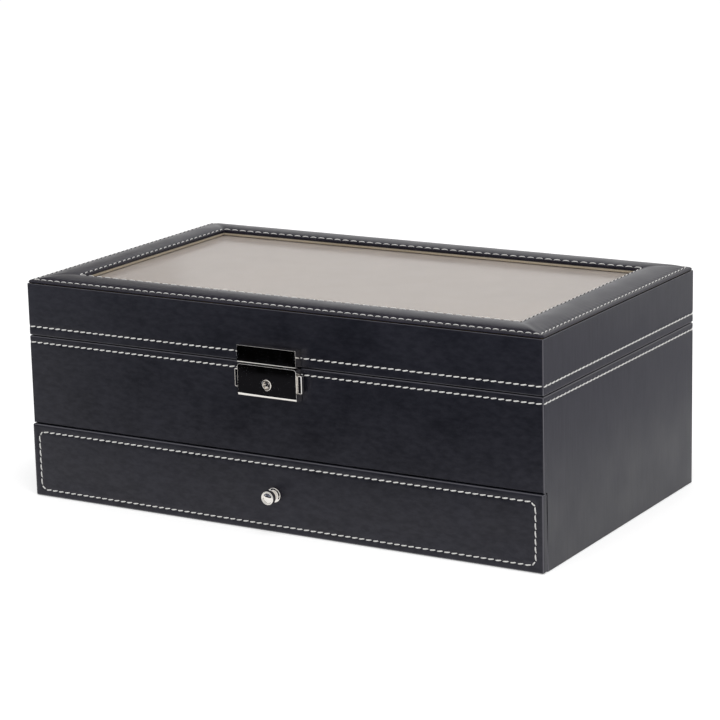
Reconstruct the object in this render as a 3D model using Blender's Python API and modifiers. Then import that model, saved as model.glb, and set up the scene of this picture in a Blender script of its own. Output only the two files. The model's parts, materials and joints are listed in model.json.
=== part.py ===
"""Watch and jewellery box: a leather-covered case with a glazed, hinged lid over twelve
cushioned watch slots, a jewellery drawer below, and a two-button key lock at the front.

Metres, +X to the right, -Y to the front, +Z up. The origin is the middle of the
underside, on the surface that the box stands on.
"""
import math

import bmesh
import bpy
from mathutils import Matrix, Vector

# Clearances
FIT = 0.0003                  # gap left between pieces that touch on the real box
OVERRUN = 0.0020              # how far a cutter runs past the piece that it cuts

# Case, outside sizes
BODY_WIDTH = 0.3300
BODY_DEPTH = 0.1900
EDGE_RADIUS = 0.0009          # leather drawn over a board edge
EDGE_SEGMENTS = 3

# Case, materials from the outside in
WRAP = 0.0009                 # leather covering
BOARD = 0.0075                # wall boards
LINING = 0.0010               # velvet on card
FELT = 0.0008                 # sheet on the underside
BOTTOM_BOARD = 0.0050
SHELF = 0.0045                # floor of the watch bay, roof of the drawer bay

# Case, heights
DRAWER_FLOOR_GAP = 0.0003     # drawer front to the surface below
DRAWER_FRONT_HEIGHT = 0.0430
DRAWER_REVEAL = 0.0003        # drawer front to the case above
WATCH_BAY_HEIGHT = 0.0448
LINING_DROP = 0.0004          # lining's top edge below the case's
LID_SEAM = 0.0003
LID_WALL = 0.0303
TOP_FRAME = 0.0064
SOFFIT_FOLD = 0.0150          # leather folded under the case above the drawer

# Lid, window and padded cap
WINDOW_INSET_SIDE = 0.0239    # outer face to the cap's inner edge, left and right
WINDOW_INSET_FRONT = 0.0211   # the same, front and back
GLASS = 0.0025
GLASS_DROP = 0.0009           # glass below the top of the lid's walls
GLASS_LAP = 0.0060            # glass held under the frame all round
LINER = 0.0014                # velvet-covered card frame on the glass
CAP_CORNER = 0.0020
CAP_EDGE = 0.0017             # height of the cap's outer lip
CAP_EDGE_ROUND = 0.0005
CAP_OUTER_STITCH = 0.0048     # outer stitch line, in from the outer face
CAP_INNER_MARGIN = 0.0012     # inner stitch line, out from the window edge
CAP_GROOVE = 0.0002           # how far the thread pulls the leather down
CAP_OUTER_SEAT = 0.0015       # leather at the outer stitch, above the cap's underside
CAP_INNER_SEAT = 0.00295      # leather at the inner stitch
CAP_CROWN = 0.0038            # top of the padding
CAP_CORNER_STEPS = 4

# Watch slots
SLOT_COLUMN_COUNT = 6
SLOT_ROW_COUNT = 2
DIVIDER = 0.0035
DIVIDER_DROP = 0.0008         # divider tops below the case's
CUSHION_SIDE_GAP = 0.0009     # cushion to the dividers beside it
CUSHION_END_GAP = 0.0026
CUSHION_HEIGHT = 0.0375
CUSHION_CROWN = 0.0022
CUSHION_PULL = 0.0011         # how far its sides are drawn in between the corners

# Drawer
DRAWER_PROUD = 0.0012         # drawer front before the case's front
DRAWER_RECESS = 0.0038        # depth of the step in the case that the front covers
DRAWER_FRONT_GAP = 0.0003
DRAWER_BOX_SIDE_GAP = 0.0008
DRAWER_BOX_BACK_GAP = 0.0023
DRAWER_BOARD = 0.0050
DRAWER_BOTTOM = 0.0030
DRAWER_BOX_TOP_GAP = 0.0032   # drawer box to the roof of its bay
DRAWER_DIVIDER = 0.0040
DRAWER_DIVIDER_DROP = 0.0040
RING_ROLL_COUNT = 8
RING_ROLL = 0.0118            # one roll of the ring pad, across
RING_SLIT = 0.0012
RING_SLIT_DEPTH = 0.0100
RING_PAD_HEIGHT = 0.0215
RING_RISE_SHARE = 0.38        # crown of a roll, as a share of its width
RING_ARC_STEPS = 5

# Knob
KNOB_HEIGHT = 0.0220          # its axis above the surface
KNOB_FLANGE_RADIUS = 0.0042
KNOB_FLANGE = 0.0010
KNOB_NECK_RADIUS = 0.0025
KNOB_NECK = 0.0036
KNOB_HEAD_RADIUS = 0.0039
KNOB_HEAD = 0.0033
KNOB_ROUND = 0.0006
KNOB_DOME = 0.00045           # rise of the middle of its face inside the rim bead
KNOB_BEAD_STEPS = 6
KNOB_STEPS = 28

# Lock and hasp
LATCH_WIDTH = 0.0376
LATCH_PROUD = 0.0060
LATCH_EDGE = 0.0006
LATCH_EDGE_SEGMENTS = 3
LOCK_RISE = 0.0001            # lock case above the base's top edge
LOCK_HEIGHT = 0.0180
LOCK_CORNER = 0.0015
LOCK_FOOT_HEIGHT = 0.0020     # rounded strip along the bottom of the face
LOCK_FOOT_DEPTH = 0.0012
LOCK_WALL = 0.0009
LOCK_FRONT_WALL = 0.0008
LOCK_PLATE = 0.0009
HASP_GAP = 0.0007
HASP_HEIGHT = 0.0098
HASP_LIP = 0.0008
HOOK_INNER = 0.0100           # hasp leg, from the middle
HOOK_OUTER = 0.0130
HOOK_BARB = 0.0014
HOOK_BARB_HEIGHT = 0.0020
HOOK_LENGTH = 0.0119          # leg below the hasp
HOOK_ROOT = 0.0010
HOOK_THICKNESS = 0.0009
HOOK_FRONT_GAP = 0.0007       # the lid's swing carries the leg forward by half of it
SLOT_GAP = 0.0001

# Release buttons
BUTTON_PROUD = 0.0028
BUTTON_TRAVEL = 0.0018
BUTTON_HEIGHT = 0.0103
BUTTON_DEPTH = 0.0030
BUTTON_DROP = 0.0032          # button's top below the lock case's
BUTTON_FLANGE = 0.0012
BUTTON_FLANGE_LIP = 0.0010
ARM_THICKNESS = 0.0012
ARM_HEIGHT = 0.0044
ARM_END = 0.0055              # inner end of the arm, from the middle
NOSE_LENGTH = 0.0023
NOSE_HEIGHT = 0.0018
NOSE_GAP = 0.0003
LUG_WIDTH = 0.0012
LUG_HEIGHT = 0.0030

# Key barrel
BARREL_RADIUS = 0.0031
BARREL_DROP = 0.0103          # its axis below the lock case's top
BARREL_PROUD = 0.0007
BARREL_ROUND = 0.0003
BARREL_COLLAR_RADIUS = 0.0039
BARREL_COLLAR = 0.0006
BARREL_SHAFT_RADIUS = 0.0014
KEYHOLE_RADIUS = 0.0020
KEYHOLE_DEPTH = 0.0020
KEY_POST_RADIUS = 0.0007
KEY_POST_DROP = 0.0003
KEYWAY_WIDTH = 0.0009
CAM_HALF_LENGTH = 0.0034
CAM_WIDTH = 0.0022
CAM_THICKNESS = 0.0012
BARREL_STEPS = 24

# Release spring
SPRING_WIRE_RADIUS = 0.00025
SPRING_POST_RADIUS = 0.0008
SPRING_POST_DROP = 0.0041     # post's axis below the lock case's top
SPRING_POST_LENGTH = 0.0024
SPRING_REACH = 0.0031         # leg ends, from the middle
SPRING_LEG_DROP = 0.0025
SPRING_ARC_STEPS = 8

# Hinges
HINGE_INSET = 0.0650          # middle of a hinge, in from the case's side
HINGE_WIDTH = 0.0300
HINGE_LEAF = 0.0120
HINGE_PLATE = 0.0008
HINGE_KNUCKLE_RADIUS = 0.0022
HINGE_BORE_RADIUS = 0.0013
HINGE_PIN_RADIUS = 0.0010
HINGE_PIN_HEAD = 0.0005
HINGE_MIDDLE_KNUCKLE = 0.0120
HINGE_ARC_STEPS = 14
HINGE_ROUND_STEPS = 16

# Places that follow from the sizes above
HALF_WIDTH = BODY_WIDTH / 2
FRONT_Y = -BODY_DEPTH / 2
BACK_Y = BODY_DEPTH / 2
SKIN = WRAP + FIT
BOARD_OUTER_X = HALF_WIDTH - SKIN
BOARD_INNER_X = BOARD_OUTER_X - BOARD
BOARD_OUTER_Y = BACK_Y - SKIN
BOARD_INNER_Y = BOARD_OUTER_Y - BOARD
LINING_OUTER_X = BOARD_INNER_X - FIT
LINING_OUTER_Y = BOARD_INNER_Y - FIT
LINING_INNER_X = LINING_OUTER_X - LINING
LINING_INNER_Y = LINING_OUTER_Y - LINING
BAY_FLOOR = FELT + FIT + BOTTOM_BOARD
BAY_TOP = DRAWER_FLOOR_GAP + DRAWER_FRONT_HEIGHT + DRAWER_REVEAL
SHELF_LOW = BAY_TOP + SKIN
SHELF_TOP = SHELF_LOW + SHELF
WATCH_FLOOR = SHELF_TOP + FIT + LINING
BASE_TOP = WATCH_FLOOR + WATCH_BAY_HEIGHT
BOARD_TOP = BASE_TOP - SKIN
STEP_Y = FRONT_Y + DRAWER_RECESS
BAY_HALF_WIDTH = LINING_OUTER_X - WRAP
LID_BOTTOM = BASE_TOP + LID_SEAM
LID_TOP = LID_BOTTOM + LID_WALL
FRAME_LOW = LID_TOP - TOP_FRAME
CAP_BOTTOM = LID_TOP + FIT
WINDOW_X = HALF_WIDTH - WINDOW_INSET_SIDE
WINDOW_Y = BACK_Y - WINDOW_INSET_FRONT
GLASS_TOP = LID_TOP - GLASS_DROP
GLASS_LOW = GLASS_TOP - GLASS
LINER_LOW = GLASS_TOP + FIT
LINER_TOP = LINER_LOW + LINER
REBATE_X = WINDOW_X + GLASS_LAP + FIT
REBATE_Y = WINDOW_Y + GLASS_LAP + FIT
DRAWER_FACE_Y = FRONT_Y - DRAWER_PROUD
DRAWER_BACK_Y = STEP_Y - DRAWER_FRONT_GAP
DRAWER_BOX_X = BAY_HALF_WIDTH - DRAWER_BOX_SIDE_GAP
DRAWER_BOX_FRONT = DRAWER_BACK_Y + FIT
DRAWER_BOX_BACK = BOARD_INNER_Y - DRAWER_BOX_BACK_GAP
DRAWER_BOX_LOW = BAY_FLOOR + FIT
DRAWER_WALL_LOW = DRAWER_BOX_LOW + DRAWER_BOTTOM + FIT
DRAWER_WALL_TOP = BAY_TOP - DRAWER_BOX_TOP_GAP
DRAWER_INNER_FRONT = DRAWER_BOX_FRONT + DRAWER_BOARD
DRAWER_INNER_BACK = DRAWER_BOX_BACK - DRAWER_BOARD
DRAWER_INNER_X = DRAWER_BOX_X - DRAWER_BOARD
RING_PAD_LEFT = -DRAWER_INNER_X + FIT
RING_PAD_RIGHT = RING_PAD_LEFT + RING_ROLL_COUNT * (RING_ROLL + RING_SLIT) - RING_SLIT
LATCH_HALF = LATCH_WIDTH / 2
LATCH_FACE_Y = FRONT_Y - LATCH_PROUD
LATCH_BACK_Y = FRONT_Y - FIT
LOCK_TOP = BASE_TOP + LOCK_RISE
LOCK_LOW = LOCK_TOP - LOCK_HEIGHT
LOCK_HOLLOW_X = LATCH_HALF - LOCK_WALL
LOCK_HOLLOW_Y = LATCH_FACE_Y + LOCK_FRONT_WALL
LOCK_HOLLOW_LOW = LOCK_LOW + LOCK_WALL
LOCK_HOLLOW_TOP = LOCK_TOP - LOCK_WALL
PLATE_FACE_Y = LATCH_BACK_Y - LOCK_PLATE
HASP_LOW = LOCK_TOP + HASP_GAP
HASP_TOP = HASP_LOW + HASP_HEIGHT
HOOK_FACE_Y = LOCK_HOLLOW_Y + HOOK_FRONT_GAP
HOOK_BACK_Y = HOOK_FACE_Y + HOOK_THICKNESS
HOOK_LOW = HASP_LOW - HOOK_LENGTH
HOOK_TIP_X = HOOK_INNER - HOOK_BARB
ARM_FACE_Y = HOOK_BACK_Y + FIT
ARM_BACK_Y = ARM_FACE_Y + ARM_THICKNESS
BARREL_Z = LOCK_TOP - BARREL_DROP
BUTTON_TOP = LOCK_TOP - BUTTON_DROP
BUTTON_LOW = BUTTON_TOP - BUTTON_HEIGHT
BUTTON_FACE_Y = LOCK_HOLLOW_Y + FIT
BUTTON_BACK_Y = BUTTON_FACE_Y + BUTTON_DEPTH
NOSE_LOW = HOOK_LOW + HOOK_BARB_HEIGHT + NOSE_GAP
NOSE_TOP = NOSE_LOW + NOSE_HEIGHT
ARM_LOW = NOSE_TOP - ARM_HEIGHT
SPRING_POST_Z = LOCK_TOP - SPRING_POST_DROP
HINGE_Y = BACK_Y + FIT + HINGE_KNUCKLE_RADIUS
HINGE_Z = BASE_TOP + LID_SEAM / 2


def clear_scene():
    for old in list(bpy.data.objects):
        bpy.data.objects.remove(old, do_unlink=True)


def new_collection(name):
    made = bpy.data.collections.new(name)
    bpy.context.scene.collection.children.link(made)
    return made


def paint(name, colour, roughness, metallic=0.0, alpha=1.0):
    made = bpy.data.materials.new(name)
    made.use_nodes = True
    shader = made.node_tree.nodes["Principled BSDF"]
    shader.inputs["Base Color"].default_value = (*colour, 1.0)
    shader.inputs["Roughness"].default_value = roughness
    shader.inputs["Metallic"].default_value = metallic
    shader.inputs["Alpha"].default_value = alpha
    made.diffuse_color = (*colour, alpha)
    return made


clear_scene()
PARTS = new_collection("watch_and_jewellery_box")
CUTTERS = new_collection("cutters")

LEATHER = paint("black_leather", (0.030, 0.030, 0.034), 0.42)
VELVET = paint("beige_velvet", (0.520, 0.430, 0.300), 0.90)
PADDING = paint("padded_velvet", (0.600, 0.500, 0.360), 0.85)
WOOD = paint("fibreboard", (0.310, 0.210, 0.120), 0.75)
FLOCK = paint("black_felt", (0.015, 0.015, 0.016), 0.95)
CLEAR = paint("window_glass", (0.900, 0.900, 0.880), 0.03, alpha=0.35)
CHROME = paint("polished_chrome", (0.640, 0.630, 0.610), 0.12, metallic=1.0)
STEEL = paint("spring_steel", (0.450, 0.450, 0.450), 0.30, metallic=1.0)


# Bodies that move: each hangs its pieces on an empty at the joint's axis
def joint_axis(name, place):
    made = bpy.data.objects.new(name, None)
    made.location = place
    PARTS.objects.link(made)
    return made


LID_AXIS = joint_axis("lid_hinge_axis", (0, HINGE_Y, HINGE_Z))
DRAWER_AXIS = joint_axis("drawer_slide_axis", (0, DRAWER_FACE_Y, KNOB_HEIGHT))
KEY_AXIS = joint_axis("key_turn_axis", (0, LATCH_FACE_Y, BARREL_Z))
BUTTON_MIDDLE_Y = (BUTTON_FACE_Y + BUTTON_BACK_Y) / 2
BUTTON_MIDDLE_Z = (BUTTON_LOW + BUTTON_TOP) / 2
LEFT_AXIS = joint_axis("left_release_axis", (-LATCH_HALF, BUTTON_MIDDLE_Y, BUTTON_MIDDLE_Z))
RIGHT_AXIS = joint_axis("right_release_axis", (LATCH_HALF, BUTTON_MIDDLE_Y, BUTTON_MIDDLE_Z))


def add_part(name, mesh, material, axis=None):
    """Links a piece whose mesh is in place; a moving one hangs on its joint's empty."""
    made = bpy.data.objects.new(name, mesh)
    mesh.name = name
    mesh.materials.clear()
    mesh.materials.append(material)
    PARTS.objects.link(made)
    if axis is not None:
        made.parent = axis
        made.matrix_parent_inverse = Matrix.Translation(-axis.location)
    return made


def add_cutter(name, mesh):
    made = bpy.data.objects.new(name, mesh)
    mesh.name = name
    CUTTERS.objects.link(made)
    made.hide_render = True
    made.display_type = "WIRE"
    return made


def combine(item, tool, operation):
    step = item.modifiers.new(tool.name, "BOOLEAN")
    step.operation = operation
    step.solver = "EXACT"
    step.object = tool


def cut(item, tool):
    combine(item, tool, "DIFFERENCE")


def fuse(item, tool):
    combine(item, tool, "UNION")


def round_edges(item, width, segments=EDGE_SEGMENTS):
    step = item.modifiers.new("rounded_edges", "BEVEL")
    step.width = width
    step.segments = segments
    step.limit_method = "ANGLE"


def smooth(mesh, degrees=35):
    mesh.shade_smooth()
    mesh.set_sharp_from_angle(angle=math.radians(degrees))


def box_bmesh(x, y, z):
    made = bmesh.new()
    bmesh.ops.create_cube(made, size=1)
    size = Vector((x[1] - x[0], y[1] - y[0], z[1] - z[0]))
    middle = Vector((x[0] + x[1], y[0] + y[1], z[0] + z[1])) / 2
    place = Matrix.Translation(middle) @ Matrix.Diagonal((*size, 1))
    bmesh.ops.transform(made, matrix=place, verts=made.verts)
    return made


def mesh_from(made, name="shape"):
    mesh = bpy.data.meshes.new(name)
    made.normal_update()
    made.to_mesh(mesh)
    made.free()
    return mesh


def box_mesh(x, y, z):
    return mesh_from(box_bmesh(x, y, z))


def along(edge, direction):
    run = (edge.verts[1].co - edge.verts[0].co).normalized()
    return abs(run.dot(direction)) > math.cos(math.radians(1))


def bevel_edges(made, edges, width, segments):
    bmesh.ops.bevel(
        made, geom=edges, offset=width, offset_type="OFFSET", segments=segments,
        profile=0.5, affect="EDGES", clamp_overlap=True,
    )


PLANES = {
    "XY": Matrix(((1, 0, 0), (0, 1, 0), (0, 0, 1))),
    "XZ": Matrix(((1, 0, 0), (0, 0, -1), (0, 1, 0))),
    "YZ": Matrix(((0, 0, 1), (1, 0, 0), (0, 1, 0))),
}


def plate_mesh(outline, span, plane, holes=()):
    """A flat outline, with any holes, thickened from span[0] to span[1] across its plane."""
    flat = bpy.data.curves.new("outline", "CURVE")
    flat.dimensions = "2D"
    flat.fill_mode = "BOTH"
    flat.extrude = (span[1] - span[0]) / 2
    for loop in (outline, *holes):
        spline = flat.splines.new("POLY")
        spline.points.add(len(loop) - 1)
        for point, (across, up) in zip(spline.points, loop):
            point.co = (across, up, 0, 1)
        spline.use_cyclic_u = True
    guide = bpy.data.objects.new("outline", flat)
    CUTTERS.objects.link(guide)
    bpy.context.view_layer.update()
    mesh = bpy.data.meshes.new_from_object(guide.evaluated_get(bpy.context.evaluated_depsgraph_get()))
    bpy.data.objects.remove(guide, do_unlink=True)
    turn = PLANES[plane].to_4x4()
    normal = turn @ Vector((0, 0, 1))
    middle = (span[0] + span[1]) / 2
    shift = Matrix.Translation(Vector(abs(value) for value in normal) * middle)
    made = bmesh.new()
    made.from_mesh(mesh)
    bmesh.ops.remove_doubles(made, verts=made.verts, dist=FIT / 100)
    bmesh.ops.transform(made, matrix=shift @ turn, verts=made.verts)
    bmesh.ops.recalc_face_normals(made, faces=made.faces)
    bpy.data.meshes.remove(mesh)
    return mesh_from(made)


def turned(name, profile, steps, material, axis, front_y, height):
    """A turned piece on an axis along Y. The profile holds (radius, distance behind
    front_y), from the front middle round to the back middle."""
    made = bmesh.new()
    ring = [made.verts.new((radius, 0, -back)) for radius, back in profile]
    for first, second in zip(ring, ring[1:]):
        made.edges.new((first, second))
    mesh = bpy.data.meshes.new(name)
    made.to_mesh(mesh)
    made.free()
    item = add_part(name, mesh, material)
    spin = item.modifiers.new("turning", "SCREW")
    spin.axis = "Z"
    spin.steps = steps
    spin.render_steps = steps
    spin.use_merge_vertices = True
    spin.merge_threshold = FIT / 100
    spin.use_smooth_shade = True
    item.rotation_euler = (math.radians(90), 0, 0)
    item.location = (0, front_y, height)
    item.parent = axis
    item.matrix_parent_inverse = Matrix.Translation(-axis.location)
    return item


def rod_mesh(radius, steps, start, end, direction):
    """A round rod along X or Y from start to end."""
    start = Vector(start)
    run = Vector(end) - start
    made = bmesh.new()
    bmesh.ops.create_cone(
        made, cap_ends=True, segments=steps, radius1=radius, radius2=radius, depth=run.length,
    )
    turn = Vector((0, 0, 1)).rotation_difference(Vector(direction)).to_matrix().to_4x4()
    bmesh.ops.transform(made, matrix=Matrix.Translation(start + run / 2) @ turn, verts=made.verts)
    return mesh_from(made)


def board(name, x, y, z, material=WOOD, axis=None):
    return add_part(name, box_mesh(x, y, z), material, axis)


def both_ways(reach):
    return (-reach, reach)


# Case: leather covering, boards, underside sheet
def case_covering():
    outline = [
        (FRONT_Y, BAY_TOP), (STEP_Y, BAY_TOP), (STEP_Y, FIT), (BACK_Y, FIT),
        (BACK_Y, BASE_TOP), (FRONT_Y, BASE_TOP),
    ]
    mesh = plate_mesh(outline, both_ways(HALF_WIDTH), "YZ")
    made = bmesh.new()
    made.from_mesh(mesh)
    bmesh.ops.dissolve_limit(made, angle_limit=math.radians(1), verts=made.verts, edges=made.edges)
    picked = []
    for edge in made.edges:
        ends = [vert.co for vert in edge.verts]
        upright = along(edge, Vector((0, 0, 1)))
        top_rim = all(abs(end.z - BASE_TOP) < FIT for end in ends)
        soffit = all(abs(end.z - BAY_TOP) < FIT and abs(end.y - FRONT_Y) < FIT for end in ends)
        if upright or top_rim or soffit:
            picked.append(edge)
    bevel_edges(made, picked, EDGE_RADIUS, EDGE_SEGMENTS)
    made.to_mesh(mesh)
    made.free()
    smooth(mesh)
    item = add_part("case_leather", mesh, LEATHER)
    inner_x = HALF_WIDTH - WRAP
    inner_y = BACK_Y - WRAP
    step_inner = STEP_Y + WRAP
    past_front = FRONT_Y - OVERRUN
    upper = box_mesh(both_ways(inner_x), both_ways(inner_y), (BAY_TOP + WRAP, BASE_TOP - WRAP))
    cut(item, add_cutter("cut_upper_boards", upper))
    opening = [
        (-inner_x, step_inner), (-BAY_HALF_WIDTH, step_inner), (-BAY_HALF_WIDTH, past_front),
        (BAY_HALF_WIDTH, past_front), (BAY_HALF_WIDTH, step_inner), (inner_x, step_inner),
        (inner_x, inner_y), (-inner_x, inner_y),
    ]
    cut(item, add_cutter("cut_drawer_bay", plate_mesh(opening, (-OVERRUN, BAY_TOP), "XY")))
    fold_x = BAY_HALF_WIDTH
    fold_y = FRONT_Y + SOFFIT_FOLD
    through = [
        (-inner_x, step_inner), (-fold_x, step_inner), (-fold_x, fold_y), (fold_x, fold_y),
        (fold_x, step_inner), (inner_x, step_inner), (inner_x, inner_y), (-inner_x, inner_y),
    ]
    span = (BAY_TOP - OVERRUN, BAY_TOP + WRAP + OVERRUN)
    cut(item, add_cutter("cut_behind_fold", plate_mesh(through, span, "XY")))
    mouth = box_mesh(
        both_ways(BOARD_INNER_X), both_ways(BOARD_INNER_Y), (BASE_TOP - OVERRUN, BASE_TOP + OVERRUN),
    )
    cut(item, add_cutter("cut_case_mouth", mouth))
    return item


def case_boards():
    low = FELT + FIT
    step = STEP_Y + SKIN
    side = [
        (-BOARD_OUTER_Y, SHELF_LOW), (step, SHELF_LOW), (step, low), (BOARD_OUTER_Y, low),
        (BOARD_OUTER_Y, BOARD_TOP), (-BOARD_OUTER_Y, BOARD_TOP),
    ]
    for name, span in (
        ("left_board", (-BOARD_OUTER_X, -BOARD_INNER_X)),
        ("right_board", (BOARD_INNER_X, BOARD_OUTER_X)),
    ):
        add_part(name, plate_mesh(side, span, "YZ"), WOOD)
    between = both_ways(LINING_OUTER_X)
    board("bottom_board", between, (step, BOARD_OUTER_Y), (low, BAY_FLOOR))
    board("back_board", between, (BOARD_INNER_Y, BOARD_OUTER_Y), (BAY_FLOOR + FIT, BOARD_TOP))
    board("shelf_board", between, (-BOARD_OUTER_Y, LINING_OUTER_Y), (SHELF_LOW, SHELF_TOP))
    board("front_board", between, (-BOARD_OUTER_Y, -BOARD_INNER_Y), (SHELF_TOP + FIT, BOARD_TOP))
    board("underside_felt", both_ways(BOARD_OUTER_X), (step, BOARD_OUTER_Y), (0, FELT), FLOCK)


def watch_bay_lining():
    floor = SHELF_TOP + FIT
    outer = box_mesh(
        both_ways(LINING_OUTER_X), both_ways(LINING_OUTER_Y), (floor, BASE_TOP - LINING_DROP),
    )
    item = add_part("watch_bay_lining", outer, VELVET)
    hollow = box_mesh(
        both_ways(LINING_INNER_X), both_ways(LINING_INNER_Y), (WATCH_FLOOR, BASE_TOP + OVERRUN),
    )
    cut(item, add_cutter("cut_watch_bay", hollow))


# Watch slots: half-lapped dividers and cushions
SLOT_WIDTH = (2 * LINING_INNER_X - (SLOT_COLUMN_COUNT - 1) * DIVIDER) / SLOT_COLUMN_COUNT
SLOT_DEPTH = (2 * LINING_INNER_Y - (SLOT_ROW_COUNT - 1) * DIVIDER) / SLOT_ROW_COUNT
DIVIDER_LOW = WATCH_FLOOR + FIT
DIVIDER_TOP = BASE_TOP - DIVIDER_DROP
LAP_Z = (DIVIDER_LOW + DIVIDER_TOP) / 2


def gap_centres(count, size, reach):
    """Middles of the dividers between count slots of the given size, from -reach."""
    return [-reach + size * (i + 1) + DIVIDER * (i + 0.5) for i in range(count - 1)]


def slot_centres(count, size, reach):
    return [-reach + size * (i + 0.5) + DIVIDER * i for i in range(count)]


def notched_board(reach, centres, from_top):
    """A divider's outline with a half-lap notch at each centre."""
    half = DIVIDER / 2 + FIT
    low, top = DIVIDER_LOW, DIVIDER_TOP
    notched, plain = (top, low) if from_top else (low, top)
    lap = LAP_Z - FIT / 2 if from_top else LAP_Z + FIT / 2
    outline = [(-reach, plain), (-reach, notched)]
    for centre in centres:
        outline += [
            (centre - half, notched), (centre - half, lap), (centre + half, lap), (centre + half, notched),
        ]
    return outline + [(reach, notched), (reach, plain)]


def dividers():
    columns = gap_centres(SLOT_COLUMN_COUNT, SLOT_WIDTH, LINING_INNER_X)
    rows = gap_centres(SLOT_ROW_COUNT, SLOT_DEPTH, LINING_INNER_Y)
    half = DIVIDER / 2
    for place in rows:
        outline = notched_board(LINING_INNER_X - FIT, columns, True)
        add_part("long_divider", plate_mesh(outline, (place - half, place + half), "XZ"), VELVET)
    for number, place in enumerate(columns, 1):
        outline = notched_board(LINING_INNER_Y - FIT, rows, False)
        span = (place - half, place + half)
        add_part(f"cross_divider_{number}", plate_mesh(outline, span, "YZ"), VELVET)


CUSHION_CUT_SHARES_X = (-0.50, 0.50)
CUSHION_CUT_SHARES_Y = (-0.55, 0.0, 0.55)
CUSHION_CUT_SHARES_Z = (-0.45, 0.45)


def cushion_mesh():
    """A crowned bar that a watch strap closes round, with its sides drawn in."""
    width = SLOT_WIDTH - 2 * CUSHION_SIDE_GAP
    length = SLOT_DEPTH - 2 * CUSHION_END_GAP
    half = Vector((width, length, CUSHION_HEIGHT)) / 2
    made = box_bmesh(both_ways(half.x), both_ways(half.y), both_ways(half.z))
    for number, shares in enumerate((CUSHION_CUT_SHARES_X, CUSHION_CUT_SHARES_Y, CUSHION_CUT_SHARES_Z)):
        normal = Vector((0, 0, 0))
        normal[number] = 1
        for share in shares:
            bmesh.ops.bisect_plane(
                made, geom=made.verts[:] + made.edges[:] + made.faces[:],
                plane_co=normal * share * half[number], plane_no=normal,
            )
    for vert in made.verts:
        a, b, c = (vert.co[i] / half[i] for i in range(3))
        fall_x, fall_y, fall_z = 1 - a * a, 1 - b * b, 1 - c * c
        pull_x = CUSHION_PULL * (fall_y + fall_z) / 2
        pull_y = CUSHION_PULL * (fall_x + fall_z) / 2
        crown = CUSHION_CROWN * fall_x * fall_y
        vert.co.x += CUSHION_PULL * a * fall_y * fall_z - a * pull_x
        vert.co.y += CUSHION_CROWN * b * fall_x * fall_z - b * pull_y
        if c > 0:
            vert.co.z += c * (crown - CUSHION_CROWN)
    return mesh_from(made, "watch_cushion")


def cushions():
    shape = cushion_mesh()
    smooth(shape, 180)
    rows = slot_centres(SLOT_ROW_COUNT, SLOT_DEPTH, LINING_INNER_Y)
    columns = slot_centres(SLOT_COLUMN_COUNT, SLOT_WIDTH, LINING_INNER_X)
    for row, y in zip(("front", "back"), rows):
        for number, x in enumerate(columns, 1):
            item = add_part(f"{row}_cushion_{number}", shape, PADDING)
            item.location = (x, y, WATCH_FLOOR + FIT + CUSHION_HEIGHT / 2)
            soft = item.modifiers.new("soft", "SUBSURF")
            soft.levels = 1
            soft.render_levels = 1
    shape.name = "watch_cushion"


# Lid: leather covering, boards, window frame, glass, liner, lining
def lid_covering():
    made = box_bmesh(both_ways(HALF_WIDTH), both_ways(BACK_Y), (LID_BOTTOM, LID_TOP))
    picked = [
        edge for edge in made.edges
        if along(edge, Vector((0, 0, 1))) or all(abs(v.co.z - LID_BOTTOM) < FIT for v in edge.verts)
    ]
    bevel_edges(made, picked, EDGE_RADIUS, EDGE_SEGMENTS)
    rim = [edge for edge in made.edges if all(abs(v.co.z - LID_TOP) < FIT for v in edge.verts)]
    bevel_edges(made, rim, CAP_EDGE_ROUND, 2)
    mesh = mesh_from(made)
    smooth(mesh)
    item = add_part("lid_leather", mesh, LEATHER, LID_AXIS)
    inside = box_mesh(
        both_ways(HALF_WIDTH - WRAP), both_ways(BACK_Y - WRAP), (LID_BOTTOM + WRAP, LID_TOP + OVERRUN),
    )
    cut(item, add_cutter("cut_lid_boards", inside))
    mouth = box_mesh(
        both_ways(BOARD_INNER_X), both_ways(BOARD_INNER_Y), (LID_BOTTOM - OVERRUN, LID_BOTTOM + OVERRUN),
    )
    cut(item, add_cutter("cut_lid_mouth", mouth))


def lid_boards():
    height = (LID_BOTTOM + SKIN, FRAME_LOW - FIT)
    depth = both_ways(BOARD_OUTER_Y)
    between = both_ways(LINING_OUTER_X)
    board("lid_left_board", (-BOARD_OUTER_X, -BOARD_INNER_X), depth, height, axis=LID_AXIS)
    board("lid_right_board", (BOARD_INNER_X, BOARD_OUTER_X), depth, height, axis=LID_AXIS)
    board("lid_front_board", between, (-BOARD_OUTER_Y, -BOARD_INNER_Y), height, axis=LID_AXIS)
    board("lid_back_board", between, (BOARD_INNER_Y, BOARD_OUTER_Y), height, axis=LID_AXIS)


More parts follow.
